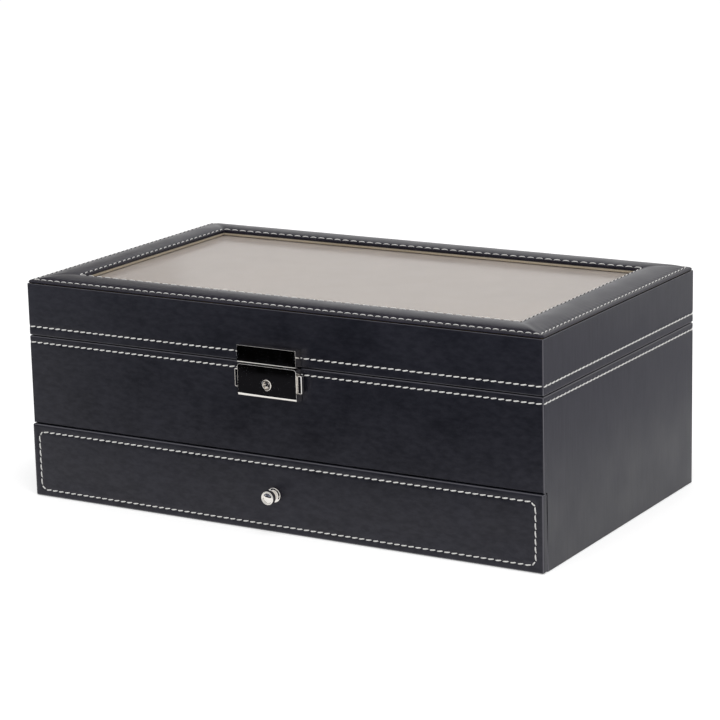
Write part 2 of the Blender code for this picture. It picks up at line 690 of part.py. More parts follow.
def lid_window():
    frame = board(
        "lid_window_frame", both_ways(BOARD_OUTER_X), both_ways(BOARD_OUTER_Y), (FRAME_LOW, LID_TOP),
        axis=LID_AXIS,
    )
    rebate = box_mesh(both_ways(REBATE_X), both_ways(REBATE_Y), (GLASS_LOW - FIT, LID_TOP + OVERRUN))
    cut(frame, add_cutter("cut_glass_rebate", rebate))
    opening = (both_ways(WINDOW_X + FIT), both_ways(WINDOW_Y + FIT))
    cut(frame, add_cutter("cut_window", box_mesh(*opening, (FRAME_LOW - OVERRUN, LID_TOP + OVERRUN))))
    pane = add_part(
        "glass_pane",
        box_mesh(both_ways(REBATE_X - FIT), both_ways(REBATE_Y - FIT), (GLASS_LOW, GLASS_TOP)),
        CLEAR, LID_AXIS,
    )
    round_edges(pane, CAP_EDGE_ROUND, 1)
    liner = add_part(
        "window_liner",
        box_mesh(both_ways(REBATE_X - FIT), both_ways(REBATE_Y - FIT), (LINER_LOW, LINER_TOP)),
        VELVET, LID_AXIS,
    )
    span = (LINER_LOW - OVERRUN, LINER_TOP + OVERRUN)
    cut(liner, add_cutter("cut_liner", box_mesh(both_ways(WINDOW_X), both_ways(WINDOW_Y), span)))
    lining = add_part(
        "lid_lining",
        box_mesh(
            both_ways(LINING_OUTER_X), both_ways(LINING_OUTER_Y), (LID_BOTTOM + FIT, FRAME_LOW - FIT),
        ),
        VELVET, LID_AXIS,
    )
    hollow = box_mesh(
        both_ways(LINING_INNER_X), both_ways(LINING_INNER_Y),
        (LID_BOTTOM - OVERRUN, FRAME_LOW - FIT - LINING),
    )
    cut(lining, add_cutter("cut_lid_hollow", hollow))
    cut(lining, add_cutter("cut_lid_window", box_mesh(*opening, (LID_BOTTOM - OVERRUN, LID_TOP))))


# Padded cap: a section carried round the window, all loops with the same number of points
CAP_CREST_SHARE = 0.36
CAP_SPAN_SHARES = (0.06, 0.18, CAP_CREST_SHARE, 0.58, 0.80)
CAP_SWELL_SHARES = (0.22, 0.68, 1.00, 0.95, 0.66)


def rounded_loop(half_x, half_y, radius, height):
    points = []
    for quarter in range(4):
        sign_x = (1, -1, -1, 1)[quarter]
        sign_y = (1, 1, -1, -1)[quarter]
        for step in range(CAP_CORNER_STEPS + 1):
            angle = math.radians(90) * (quarter + step / CAP_CORNER_STEPS)
            points.append(Vector((
                sign_x * (half_x - radius) + radius * math.cos(angle),
                sign_y * (half_y - radius) + radius * math.sin(angle),
                height,
            )))
    return points


def cap_section():
    """(inset at the sides, inset at front and back, corner radius, height above the
    cap's underside), from the outer bottom edge over the padding to the rebate below."""
    stitch = CAP_OUTER_STITCH
    inner_side = WINDOW_INSET_SIDE - CAP_INNER_MARGIN
    inner_front = WINDOW_INSET_FRONT - CAP_INNER_MARGIN
    small = CAP_EDGE_ROUND
    outer = CAP_CORNER
    rows = [
        (0, 0, outer, small),
        (0, 0, outer, CAP_EDGE - small),
        (small, small, outer - small, CAP_EDGE),
        (stitch - small, stitch - small, outer - 2 * small, CAP_OUTER_SEAT),
        (stitch, stitch, outer - 2 * small, CAP_OUTER_SEAT - CAP_GROOVE),
        (stitch + small, stitch + small, outer - 2 * small, CAP_OUTER_SEAT),
    ]
    for span, swell in zip(CAP_SPAN_SHARES, CAP_SWELL_SHARES):
        seat = CAP_OUTER_SEAT if span < CAP_CREST_SHARE else CAP_INNER_SEAT
        rows.append((
            stitch + (inner_side - stitch) * span, stitch + (inner_front - stitch) * span,
            outer - 3 * small, seat + (CAP_CROWN - seat) * swell,
        ))
    rows += [
        (inner_side - small, inner_front - small, 2 * small, CAP_INNER_SEAT),
        (inner_side, inner_front, 2 * small, CAP_INNER_SEAT - CAP_GROOVE),
        (inner_side + small, inner_front + small, small, CAP_INNER_SEAT),
        (WINDOW_INSET_SIDE - small, WINDOW_INSET_FRONT - small, small, CAP_INNER_SEAT),
        (WINDOW_INSET_SIDE, WINDOW_INSET_FRONT, small, CAP_INNER_SEAT - small),
        (WINDOW_INSET_SIDE, WINDOW_INSET_FRONT, small, LINER_TOP + FIT - CAP_BOTTOM),
        (HALF_WIDTH - REBATE_X, BACK_Y - REBATE_Y, small, LINER_TOP + FIT - CAP_BOTTOM),
        (HALF_WIDTH - REBATE_X, BACK_Y - REBATE_Y, small, 0),
        (small, small, outer - small, 0),
    ]
    return rows


def padded_cap():
    made = bmesh.new()
    loops = [
        [made.verts.new(point) for point in rounded_loop(
            HALF_WIDTH - side, BACK_Y - front, radius, CAP_BOTTOM + height)]
        for side, front, radius, height in cap_section()
    ]
    for here, following in zip(loops, loops[1:] + loops[:1]):
        count = len(here)
        for i in range(count):
            j = (i + 1) % count
            made.faces.new((here[i], here[j], following[j], following[i]))
    bmesh.ops.recalc_face_normals(made, faces=made.faces)
    mesh = mesh_from(made)
    smooth(mesh)
    add_part("padded_cap", mesh, LEATHER, LID_AXIS)


# Drawer: covered front, box, divider, ring pad, knob
def drawer_box():
    front = board(
        "drawer_front", both_ways(HALF_WIDTH), (DRAWER_FACE_Y, DRAWER_BACK_Y),
        (DRAWER_FLOOR_GAP, DRAWER_FLOOR_GAP + DRAWER_FRONT_HEIGHT), LEATHER, DRAWER_AXIS,
    )
    round_edges(front, EDGE_RADIUS)
    width = both_ways(DRAWER_BOX_X)
    walls = (DRAWER_WALL_LOW, DRAWER_WALL_TOP)
    inside = (DRAWER_INNER_FRONT + FIT, DRAWER_INNER_BACK - FIT)
    floor = (DRAWER_BOX_LOW, DRAWER_BOX_LOW + DRAWER_BOTTOM)
    board("drawer_bottom", width, (DRAWER_BOX_FRONT, DRAWER_BOX_BACK), floor, VELVET, DRAWER_AXIS)
    board("drawer_inner_front", width, (DRAWER_BOX_FRONT, DRAWER_INNER_FRONT), walls, VELVET, DRAWER_AXIS)
    board("drawer_back", width, (DRAWER_INNER_BACK, DRAWER_BOX_BACK), walls, VELVET, DRAWER_AXIS)
    board("drawer_left_side", (-DRAWER_BOX_X, -DRAWER_INNER_X), inside, walls, VELVET, DRAWER_AXIS)
    board("drawer_right_side", (DRAWER_INNER_X, DRAWER_BOX_X), inside, walls, VELVET, DRAWER_AXIS)
    divider = (RING_PAD_RIGHT + FIT, RING_PAD_RIGHT + FIT + DRAWER_DIVIDER)
    height = (DRAWER_WALL_LOW, DRAWER_WALL_TOP - DRAWER_DIVIDER_DROP)
    board("drawer_divider", divider, inside, height, VELVET, DRAWER_AXIS)


def ring_pad():
    """Foam rolls side by side, with slits between them that hold the rings."""
    low = DRAWER_WALL_LOW
    crown = low + RING_PAD_HEIGHT
    shoulder = RING_ROLL / 2
    rise = RING_ROLL * RING_RISE_SHARE
    outline = [(RING_PAD_LEFT, low)]
    for number in range(RING_ROLL_COUNT):
        left = RING_PAD_LEFT + number * (RING_ROLL + RING_SLIT)
        if number > 0:
            outline.append((left, crown - RING_SLIT_DEPTH))
        for step in range(RING_ARC_STEPS + 1):
            angle = math.pi * (1 - step / RING_ARC_STEPS)
            across = left + shoulder + shoulder * math.cos(angle)
            outline.append((across, crown - rise + rise * math.sin(angle)))
        if number < RING_ROLL_COUNT - 1:
            outline.append((left + RING_ROLL, crown - RING_SLIT_DEPTH))
    outline.append((RING_PAD_RIGHT, low))
    span = (DRAWER_INNER_FRONT + FIT, DRAWER_INNER_BACK - FIT)
    add_part("ring_pad", plate_mesh(outline, span, "XZ"), VELVET, DRAWER_AXIS)


def knob():
    neck_end = KNOB_HEAD + KNOB_NECK
    length = neck_end + KNOB_FLANGE
    dome_radius = KNOB_HEAD_RADIUS - 2 * KNOB_ROUND
    dome_shares = (0, 0.3, 0.55, 0.8)
    profile = [
        (dome_radius * share, KNOB_ROUND - KNOB_DOME * (1 - share * share)) for share in dome_shares
    ]
    for step in range(KNOB_BEAD_STEPS + 1):
        angle = math.pi * (1 - step / KNOB_BEAD_STEPS)
        profile.append((
            KNOB_HEAD_RADIUS - KNOB_ROUND * (1 - math.cos(angle)), KNOB_ROUND * (1 - math.sin(angle)),
        ))
    profile += [
        (KNOB_HEAD_RADIUS, KNOB_HEAD - KNOB_ROUND),
        (KNOB_HEAD_RADIUS - KNOB_ROUND, KNOB_HEAD),
        (KNOB_NECK_RADIUS, KNOB_HEAD + KNOB_ROUND),
        (KNOB_NECK_RADIUS, neck_end - KNOB_ROUND),
        (KNOB_NECK_RADIUS + KNOB_ROUND, neck_end),
        (KNOB_FLANGE_RADIUS - KNOB_ROUND / 2, neck_end),
        (KNOB_FLANGE_RADIUS, neck_end + KNOB_ROUND / 2),
        (KNOB_FLANGE_RADIUS, length),
        (0, length),
    ]
    front = DRAWER_FACE_Y - FIT - length
    turned("drawer_knob", profile, KNOB_STEPS, CHROME, DRAWER_AXIS, front, KNOB_HEIGHT)


# Lock on the base
def lock_case():
    made = box_bmesh(both_ways(LATCH_HALF), (LATCH_FACE_Y, LATCH_BACK_Y), (LOCK_LOW, LOCK_TOP))
    corners = [
        edge for edge in made.edges
        if along(edge, Vector((0, 1, 0))) and edge.verts[0].co.z > BARREL_Z
    ]
    bevel_edges(made, corners, LOCK_CORNER, EDGE_SEGMENTS)
    face = [e for e in made.edges if all(abs(v.co.y - LATCH_FACE_Y) < FIT for v in e.verts)]
    foot = [e for e in face if all(abs(v.co.z - LOCK_LOW) < FIT for v in e.verts)]
    bevel_edges(made, foot, LOCK_FOOT_HEIGHT, LATCH_EDGE_SEGMENTS)
    for vert in made.verts:
        behind = vert.co.y - LATCH_FACE_Y
        if behind < LOCK_FOOT_HEIGHT + FIT:
            vert.co.y = LATCH_FACE_Y + behind * LOCK_FOOT_DEPTH / LOCK_FOOT_HEIGHT
    face = [
        e for e in made.edges
        if all(abs(v.co.y - LATCH_FACE_Y) < FIT for v in e.verts)
        and any(v.co.z > LOCK_LOW + LOCK_FOOT_HEIGHT + FIT for v in e.verts)
    ]
    bevel_edges(made, face, LATCH_EDGE, LATCH_EDGE_SEGMENTS)
    item = add_part("lock_case", mesh_from(made), CHROME)
    hollow = box_mesh(
        both_ways(LOCK_HOLLOW_X), (LOCK_HOLLOW_Y, FRONT_Y + OVERRUN), (LOCK_HOLLOW_LOW, LOCK_HOLLOW_TOP),
    )
    cut(item, add_cutter("cut_lock_hollow", hollow))
    windows = box_mesh(
        both_ways(LATCH_HALF + OVERRUN), (LOCK_HOLLOW_Y, BUTTON_BACK_Y + FIT),
        (BUTTON_LOW - FIT, BUTTON_TOP + FIT),
    )
    cut(item, add_cutter("cut_button_windows", windows))
    for name, side in (("left", -1), ("right", 1)):
        ends = sorted((side * (HOOK_TIP_X - FIT), side * (HOOK_OUTER + FIT)))
        depth = (LOCK_HOLLOW_Y + SLOT_GAP, HOOK_BACK_Y + FIT)
        slot = box_mesh(ends, depth, (LOCK_HOLLOW_TOP - OVERRUN, LOCK_TOP + OVERRUN))
        cut(item, add_cutter(f"cut_{name}_hook_slot", slot))
    start = (0, LATCH_FACE_Y - OVERRUN, BARREL_Z)
    end = (0, LOCK_HOLLOW_Y + OVERRUN, BARREL_Z)
    hole = rod_mesh(BARREL_RADIUS + FIT, BARREL_STEPS, start, end, (0, 1, 0))
    cut(item, add_cutter("cut_barrel_hole", hole))


def lock_plate():
    item = add_part(
        "lock_backplate",
        box_mesh(
            both_ways(LOCK_HOLLOW_X - FIT), (PLATE_FACE_Y, LATCH_BACK_Y),
            (LOCK_HOLLOW_LOW + FIT, LOCK_HOLLOW_TOP - FIT),
        ),
        STEEL,
    )
    start = (0, PLATE_FACE_Y - SPRING_POST_LENGTH, SPRING_POST_Z)
    end = (0, PLATE_FACE_Y + LOCK_PLATE / 2, SPRING_POST_Z)
    post = rod_mesh(SPRING_POST_RADIUS, HINGE_ROUND_STEPS, start, end, (0, 1, 0))
    fuse(item, add_cutter("join_spring_post", post))


def key_barrel():
    wall = LOCK_HOLLOW_Y + FIT - (LATCH_FACE_Y - BARREL_PROUD)
    collar_back = wall + BARREL_COLLAR
    cam_back = ARM_BACK_Y - (LATCH_FACE_Y - BARREL_PROUD)
    body_back = cam_back - CAM_THICKNESS - FIT
    profile = [
        (0, KEY_POST_DROP),
        (KEY_POST_RADIUS, KEY_POST_DROP),
        (KEY_POST_RADIUS, KEYHOLE_DEPTH),
        (KEYHOLE_RADIUS, KEYHOLE_DEPTH),
        (KEYHOLE_RADIUS, BARREL_ROUND),
        (KEYHOLE_RADIUS + BARREL_ROUND, 0),
        (BARREL_RADIUS - BARREL_ROUND, 0),
        (BARREL_RADIUS, BARREL_ROUND),
        (BARREL_RADIUS, wall),
        (BARREL_COLLAR_RADIUS, wall),
        (BARREL_COLLAR_RADIUS, collar_back),
        (BARREL_SHAFT_RADIUS, collar_back),
        (BARREL_SHAFT_RADIUS, body_back),
        (0, body_back),
    ]
    front = LATCH_FACE_Y - BARREL_PROUD
    item = turned("key_barrel", profile, BARREL_STEPS, CHROME, KEY_AXIS, front, BARREL_Z)
    cam = box_mesh(
        both_ways(CAM_WIDTH / 2), (front + body_back - FIT, front + cam_back),
        (BARREL_Z - CAM_HALF_LENGTH, BARREL_Z + CAM_HALF_LENGTH),
    )
    fuse(item, add_cutter("join_key_cam", cam))
    keyway = box_mesh(
        both_ways(KEYWAY_WIDTH / 2), (front - OVERRUN, front + KEYHOLE_DEPTH - FIT),
        (BARREL_Z - KEYHOLE_RADIUS - KEYWAY_WIDTH / 2, BARREL_Z - KEY_POST_RADIUS - FIT),
    )
    cut(item, add_cutter("cut_keyway", keyway))


def release_button(name, side, axis):
    """A button with its arm behind the hasp's leg, the nose beside the barb, and the lug
    that the spring pushes."""
    def across(near, far):
        return sorted((side * near, side * far))

    flange_in = LOCK_HOLLOW_X - FIT - BUTTON_FLANGE
    button = box_bmesh(
        across(flange_in, LATCH_HALF + BUTTON_PROUD), (BUTTON_FACE_Y, BUTTON_BACK_Y),
        (BUTTON_LOW, BUTTON_TOP),
    )
    outer = [
        edge for edge in button.edges
        if all(abs(abs(vert.co.x) - LATCH_HALF - BUTTON_PROUD) < FIT for vert in edge.verts)
        or (
            all(abs(vert.co.y - BUTTON_FACE_Y) < FIT for vert in edge.verts)
            and along(edge, Vector((1, 0, 0)))
        )
    ]
    bevel_edges(button, outer, LATCH_EDGE, LATCH_EDGE_SEGMENTS)
    item = add_part(name, mesh_from(button), CHROME, axis)
    middle = (BUTTON_FACE_Y + FIT, BUTTON_BACK_Y - FIT)
    flange = box_mesh(
        across(flange_in - FIT, LOCK_HOLLOW_X - FIT), middle,
        (BUTTON_LOW - BUTTON_FLANGE_LIP, BUTTON_TOP + BUTTON_FLANGE_LIP),
    )
    fuse(item, add_cutter(f"join_{name}_flange", flange))
    nose_out = HOOK_TIP_X - NOSE_GAP
    arm = [
        (side * ARM_END, ARM_LOW), (side * flange_in, ARM_LOW), (side * flange_in, NOSE_TOP),
        (side * (ARM_END + LUG_WIDTH), NOSE_TOP), (side * (ARM_END + LUG_WIDTH), NOSE_TOP + LUG_HEIGHT),
        (side * ARM_END, NOSE_TOP + LUG_HEIGHT),
    ]
    fuse(item, add_cutter(f"join_{name}_arm", plate_mesh(arm, (ARM_FACE_Y, ARM_BACK_Y), "XZ")))
    nose = box_mesh(
        across(nose_out - NOSE_LENGTH, nose_out), (HOOK_FACE_Y, ARM_FACE_Y + ARM_THICKNESS / 2),
        (NOSE_LOW, NOSE_TOP - FIT),
    )
    fuse(item, add_cutter(f"join_{name}_nose", nose))


def release_spring():
    """A hairpin wire over the post, whose legs push the two buttons out."""
    bend = SPRING_POST_RADIUS + FIT + SPRING_WIRE_RADIUS
    depth = (ARM_FACE_Y + ARM_BACK_Y) / 2
    foot = SPRING_POST_Z - SPRING_LEG_DROP
    points = [(-SPRING_REACH, foot)]
    for step in range(SPRING_ARC_STEPS + 1):
        angle = math.pi * (1 - step / SPRING_ARC_STEPS)
        points.append((bend * math.cos(angle), SPRING_POST_Z + bend * math.sin(angle)))
    points.append((SPRING_REACH, foot))
    wire = bpy.data.curves.new("release_spring", "CURVE")
    wire.dimensions = "3D"
    wire.bevel_depth = SPRING_WIRE_RADIUS
    wire.bevel_resolution = 1
    wire.use_fill_caps = True
    spline = wire.splines.new("POLY")
    spline.points.add(len(points) - 1)
    for point, (across, height) in zip(spline.points, points):
        point.co = (across, depth, height, 1)
    item = bpy.data.objects.new("release_spring", wire)
    wire.materials.append(STEEL)
    PARTS.objects.link(item)


# Hasp on the lid
def hasp():
    made = box_bmesh(both_ways(LATCH_HALF), (LATCH_FACE_Y, LATCH_BACK_Y), (HASP_LOW, HASP_TOP))
    face = [e for e in made.edges if all(abs(v.co.y - LATCH_FACE_Y) < FIT for v in e.verts)]
    foot = [e for e in face if all(abs(v.co.z - HASP_LOW) < FIT for v in e.verts)]
    bevel_edges(made, foot, HASP_LIP, LATCH_EDGE_SEGMENTS)
    face = [
        e for e in made.edges
        if all(abs(v.co.y - LATCH_FACE_Y) < FIT for v in e.verts)
        and any(v.co.z > HASP_LOW + HASP_LIP + FIT for v in e.verts)
    ]
    bevel_edges(made, face, LATCH_EDGE, LATCH_EDGE_SEGMENTS)
    item = add_part("hasp", mesh_from(made), CHROME, LID_AXIS)
    for name, side in (("left", -1), ("right", 1)):
        hook = [
            (side * HOOK_INNER, HASP_LOW + HOOK_ROOT), (side * HOOK_OUTER, HASP_LOW + HOOK_ROOT),
            (side * HOOK_OUTER, HOOK_LOW), (side * HOOK_INNER, HOOK_LOW),
            (side * HOOK_TIP_X, HOOK_LOW + HOOK_BARB_HEIGHT / 2),
            (side * HOOK_TIP_X, HOOK_LOW + HOOK_BARB_HEIGHT),
            (side * HOOK_INNER, HOOK_LOW + HOOK_BARB_HEIGHT),
        ]
        leg = plate_mesh(hook, (HOOK_FACE_Y, HOOK_BACK_Y), "XZ")
        fuse(item, add_cutter(f"join_{name}_hook", leg))


# Hinges at the back
def hinge_leaf(name, middle_x, up, keep_middle, axis):
    """One leaf with its knuckles: a plate that runs into a tube round the pin, with the
    other leaf's knuckles cut away. up is 1 for the lid's leaf and -1 for the base's."""
    near = BACK_Y + FIT
    far = near + HINGE_PLATE
    radius = HINGE_KNUCKLE_RADIUS
    end = HINGE_Z + up * (HINGE_LEAF + LID_SEAM)
    meet = math.asin(math.sqrt(radius ** 2 - (HINGE_Y - far) ** 2) / radius)
    start = math.pi - meet
    outline = [(near, end), (far, end)]
    for step in range(HINGE_ARC_STEPS + 1):
        angle = start + (-math.pi - start) * step / HINGE_ARC_STEPS
        outline.append((HINGE_Y + radius * math.cos(angle), HINGE_Z + up * radius * math.sin(angle)))
    bore = []
    for step in range(HINGE_ROUND_STEPS):
        angle = 2 * math.pi * step / HINGE_ROUND_STEPS
        bore.append((
            HINGE_Y + HINGE_BORE_RADIUS * math.cos(angle), HINGE_Z + HINGE_BORE_RADIUS * math.sin(angle),
        ))
    half = HINGE_WIDTH / 2
    mesh = plate_mesh(outline, (middle_x - half, middle_x + half), "YZ", (bore,))
    smooth(mesh)
    item = add_part(name, mesh, CHROME, axis)
    depth = (near - OVERRUN, HINGE_Y + radius + OVERRUN)
    reach = sorted((HINGE_Z + up * (radius + FIT), HINGE_Z - up * (radius + OVERRUN)))
    middle = HINGE_MIDDLE_KNUCKLE / 2
    if keep_middle:
        spans = [
            (middle_x - half - OVERRUN, middle_x - middle + FIT / 2),
            (middle_x + middle - FIT / 2, middle_x + half + OVERRUN),
        ]
    else:
        spans = [(middle_x - middle - FIT / 2, middle_x + middle + FIT / 2)]
    for number, span in enumerate(spans, 1):
        cut(item, add_cutter(f"cut_{name}_{number}", box_mesh(span, depth, reach)))


def hinges():
    for side, sign in (("left", -1), ("right", 1)):
        middle_x = sign * (HALF_WIDTH - HINGE_INSET)
        hinge_leaf(f"{side}_hinge_base_leaf", middle_x, -1, False, None)
        hinge_leaf(f"{side}_hinge_lid_leaf", middle_x, 1, True, LID_AXIS)
        half = HINGE_WIDTH / 2 + HINGE_PIN_HEAD
        start = (middle_x - half, HINGE_Y, HINGE_Z)
        end = (middle_x + half, HINGE_Y, HINGE_Z)
        mesh = rod_mesh(HINGE_PIN_RADIUS, HINGE_ROUND_STEPS, start, end, (1, 0, 0))
        smooth(mesh)
        round_edges(add_part(f"{side}_hinge_pin", mesh, CHROME), HINGE_PIN_HEAD / 2, 1)


case_covering()
case_boards()
watch_bay_lining()
dividers()
cushions()
lid_covering()
lid_boards()
lid_window()
padded_cap()
drawer_box()
ring_pad()
knob()
lock_case()
lock_plate()
key_barrel()
release_button("left_release", -1, LEFT_AXIS)
release_button("right_release", 1, RIGHT_AXIS)
release_spring()
hasp()
hinges()
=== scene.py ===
"""Looks of the watch and jewellery box: leather, stitching, padded cap, glass, velvet,
polished lock and knob. Metres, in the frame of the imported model: +X to the right,
-Y to the front, +Z up, the origin in the middle of the underside.
"""
import json
import math
import random

import bmesh
import bpy
from mathutils import Matrix, Vector, noise


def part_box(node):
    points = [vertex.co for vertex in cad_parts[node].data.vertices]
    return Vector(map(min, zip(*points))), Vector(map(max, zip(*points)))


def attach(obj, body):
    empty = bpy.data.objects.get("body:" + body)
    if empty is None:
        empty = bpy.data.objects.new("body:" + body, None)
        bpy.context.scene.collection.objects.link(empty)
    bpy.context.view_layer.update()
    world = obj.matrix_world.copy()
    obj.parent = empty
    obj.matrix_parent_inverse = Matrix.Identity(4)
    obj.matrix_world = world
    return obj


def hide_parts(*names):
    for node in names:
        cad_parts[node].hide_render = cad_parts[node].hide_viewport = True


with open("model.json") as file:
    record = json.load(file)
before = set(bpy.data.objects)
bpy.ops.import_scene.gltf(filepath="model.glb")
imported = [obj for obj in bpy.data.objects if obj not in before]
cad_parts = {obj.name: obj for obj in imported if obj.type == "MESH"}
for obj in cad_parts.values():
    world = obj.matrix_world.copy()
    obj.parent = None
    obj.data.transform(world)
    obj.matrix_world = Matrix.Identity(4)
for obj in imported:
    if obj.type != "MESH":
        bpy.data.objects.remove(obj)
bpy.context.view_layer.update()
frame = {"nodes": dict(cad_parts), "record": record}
MM = 0.001
UP = Vector((0, 0, 1))
SIDES = (  # outwards and along: front, right, back, left
    ((0, -1), (1, 0)), ((1, 0), (0, 1)), ((0, 1), (-1, 0)), ((-1, 0), (0, -1)),
)

# Camera: place, the direction that it looks from, and lens, from the photograph's perspective
CAMERA_PLACE = Vector((0.76968, -1.28988, 0.44373))
CAMERA_ANGLES = (30.856, 13.723, -1.329)  # azimuth, elevation, roll
CAMERA_LENS = 134.452
CAMERA_SENSOR = 36.0
CAMERA_CLIP = (0.05, 50)

# Small distances and angles
CUT_SLACK = 0.001 * MM
WELD = 0.002 * MM  # corners that are one
NEAR = 0.1 * MM  # counts as lying on a face
FIT = 0.3 * MM  # gap between pieces that touch
FLAT_ANGLE = math.radians(0.5)  # faces that are one
EDGE_ANGLE = math.radians(30)  # edges that softened pieces round
CORNER_ANGLE = math.radians(60)  # edges that leather and metal round
SQUARE = 0.99  # share of a normal along an axis that counts as square
UPRIGHT = 0.1  # greatest rise of a wall's normal

# Stitching
STITCH_PITCH = 4.37 * MM
STITCH_SHARE = 0.84  # thread seen between two needle holes
UPRIGHT_SHARE = 0.92  # the same on the sides and the short runs of the drawer
THREAD = 0.80 * MM
STITCH_TILT = 8.0  # degrees
STITCH_TILT_SPREAD = 1.5
STITCH_SIZE_SPREAD = 0.03
STITCH_ENDS = 0.60  # thickness of its ends, against its middle
STITCH_SUNK = 0.50  # its ends under the leather, in threads
STITCH_BULGE = 0.70  # its middle above its ends
STITCH_RINGS = 7
STITCH_SIDES = 8
LID_STITCH_Z = 100.85 * MM
CASE_STITCH_Z = 91.67 * MM
CORNER_MARGIN = 0.6 * MM
EDGE_ROUND = 0.6 * MM  # rounding of the leather at the outer edges
GROOVE_DEPTH = 0.30 * MM
GROOVE_WIDTH = 0.90 * MM
GROOVE_STEPS = (-3.0, -2.4, -1.4, -0.7, 0.0, 0.7, 1.4, 2.4, 3.0)
GROOVE_REACH = 2.4
GROOVE_SHALLOW = 0.35  # share of the depth between the needle holes
THREAD_SINK = GROOVE_DEPTH * GROOVE_SHALLOW
COLUMNS_A_STITCH = 4
CORNER_HOLE = 0.5  # drawn in at the corners, against 1 at a needle hole
ROUND_HOLE = 0.6  # the same in the rounds of the drawer's rectangle

# Drawer front: the stitched rectangle
DRAWER_STITCH_X = 160.40 * MM
DRAWER_STITCH_LOW = 4.20 * MM
DRAWER_STITCH_HIGH = 38.90 * MM
DRAWER_STITCH_CORNER = 2.40 * MM

# Padded cap: widths from the outer face, heights above its underside
CAP_OUTER_STITCH = 3.0 * MM
CAP_LIP_INSET = 0.25 * MM  # lip behind the lid's wall
CAP_LIP_START = 0.35 * MM
CAP_LIP = 1.55 * MM
CAP_LIP_ROUND = 1.60 * MM
CAP_OUTER_SEAT = 1.62 * MM
CAP_INNER_SEAT = 2.55 * MM
CAP_CROWN = 3.75 * MM
CAP_CREST_SHARE = 0.54
CAP_SIDE_EASE = 0.68  # below 1 the padding rises more gently at the sides
CAP_SWELL_OUTER = 0.60  # exponents of the padding's outer and inner slopes
CAP_SWELL_INNER = 2.2
CAP_INNER_MARGIN = 1.2 * MM
CAP_CORNER = 2.0 * MM  # corner radii from the outer edge to the inner one
CAP_SEAM_CORNERS = (1.2 * MM, 1.0 * MM)
CAP_PADDING_CORNER = 1.1 * MM
CAP_INNER_CORNER = 0.8 * MM
CAP_INNER_EDGE = 0.55 * MM
CAP_FOOT = (0.4 * MM, 0.5 * MM)  # its step inwards, and how much less its corners are round
CAP_SEAM_STEPS = ((-1.2, -0.6, 0.0, 0.5), (-0.5, 0.0, 0.6, 1.2))
CAP_PADDING_ROWS = 18
CAP_PADDING_SHARES = (0.04, 0.93)  # where the padding's rows start, and how far they reach
CAP_ARC_STEPS = 5
CAP_TURN_STEPS = 6
CAP_PUCKER = 0.16 * MM
CAP_PUCKER_FALL = 1.5 * MM
CAP_WAVE = 0.10 * MM
CAP_WAVE_SCALES = (34, 110)
CAP_MITRE = 0.35 * MM
CAP_MITRE_WIDTH = 2.2 * MM
GLASS_LAP = 6.0 * MM  # liner and glass held under the cap
CAP_OUTER_PITCHES = (4.70 * MM, 4.39 * MM)  # front and back, sides
CAP_INNER_PITCHES = (5.65 * MM, 4.70 * MM)
CAP_STITCH_SHARES = (0.72, 0.72)
CAP_STITCH_RISES = (0.06 * MM, 0.12 * MM)
CAP_THREAD = 0.58 * MM

# Places read from the frame
HALF_X, HALF_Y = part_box("case_leather")[1].xy
CAP_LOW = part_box("padded_cap")[0]
LINER_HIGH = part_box("window_liner")[1]
FRONT_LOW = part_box("drawer_front")[0]
CAP_SIDE = HALF_X - LINER_HIGH.x + GLASS_LAP
CAP_FRONT = HALF_Y - LINER_HIGH.y + GLASS_LAP


# Shader helpers
def feed(tree, node, inputs):
    """Sets each input to a value, or links another node's output to it."""
    for key, value in inputs.items():
        if isinstance(value, bpy.types.NodeSocket):
            tree.links.new(value, node.inputs[key])
        else:
            node.inputs[key].default_value = value


def node_of(tree, kind, inputs, **settings):
    made = tree.nodes.new(f"ShaderNode{kind}")
    for key, value in settings.items():
        setattr(made, key, value)
    feed(tree, made, inputs)
    return made


def shader_of(name):
    """A new material, its node tree and its Principled shader."""
    made = bpy.data.materials.new(name)
    made.use_nodes = True
    return made, made.node_tree, made.node_tree.nodes["Principled BSDF"]


def noise_node(tree, vector, scale, detail, roughness=0.5, distortion=0.0):
    return node_of(tree, "TexNoise", {
        "Vector": vector, "Scale": scale, "Detail": detail, "Roughness": roughness,
        "Distortion": distortion,
    }).outputs["Fac"]


def stretched(tree, vector, scale):
    return node_of(tree, "Mapping", {"Vector": vector, "Scale": scale}).outputs["Vector"]


def ramp(tree, value, low, high, start=0.35, end=0.65):
    """Remaps a 0 to 1 value to low .. high between start and end."""
    return node_of(tree, "MapRange", {
        "Value": value, "From Min": start, "From Max": end, "To Min": low, "To Max": high,
    }).outputs["Result"]


def calc(tree, operation, first, second):
    return node_of(tree, "Math", {0: first, 1: second}, operation=operation).outputs[0]


def mixed(tree, first, second, share):
    """first and second added in the given shares."""
    kept = calc(tree, "MULTIPLY", first, 1 - share)
    return calc(tree, "ADD", kept, calc(tree, "MULTIPLY", second, share))


def coloured(tree, shader, tone, dark, light):
    """Base colour from dark to light, after a 0 to 1 tone."""
    both = node_of(tree, "Mix", {
        "Factor": ramp(tree, tone, 0, 1), "A": (*dark, 1), "B": (*light, 1),
    }, data_type="RGBA")
    feed(tree, shader, {"Base Color": both.outputs["Result"]})


def bump(tree, shader, height, strength, distance):
    made = node_of(tree, "Bump", {"Strength": strength, "Distance": distance, "Height": height})
    feed(tree, shader, {"Normal": made.outputs["Normal"]})


def place_of(tree):
    return node_of(tree, "TexCoord", {}).outputs["Object"]


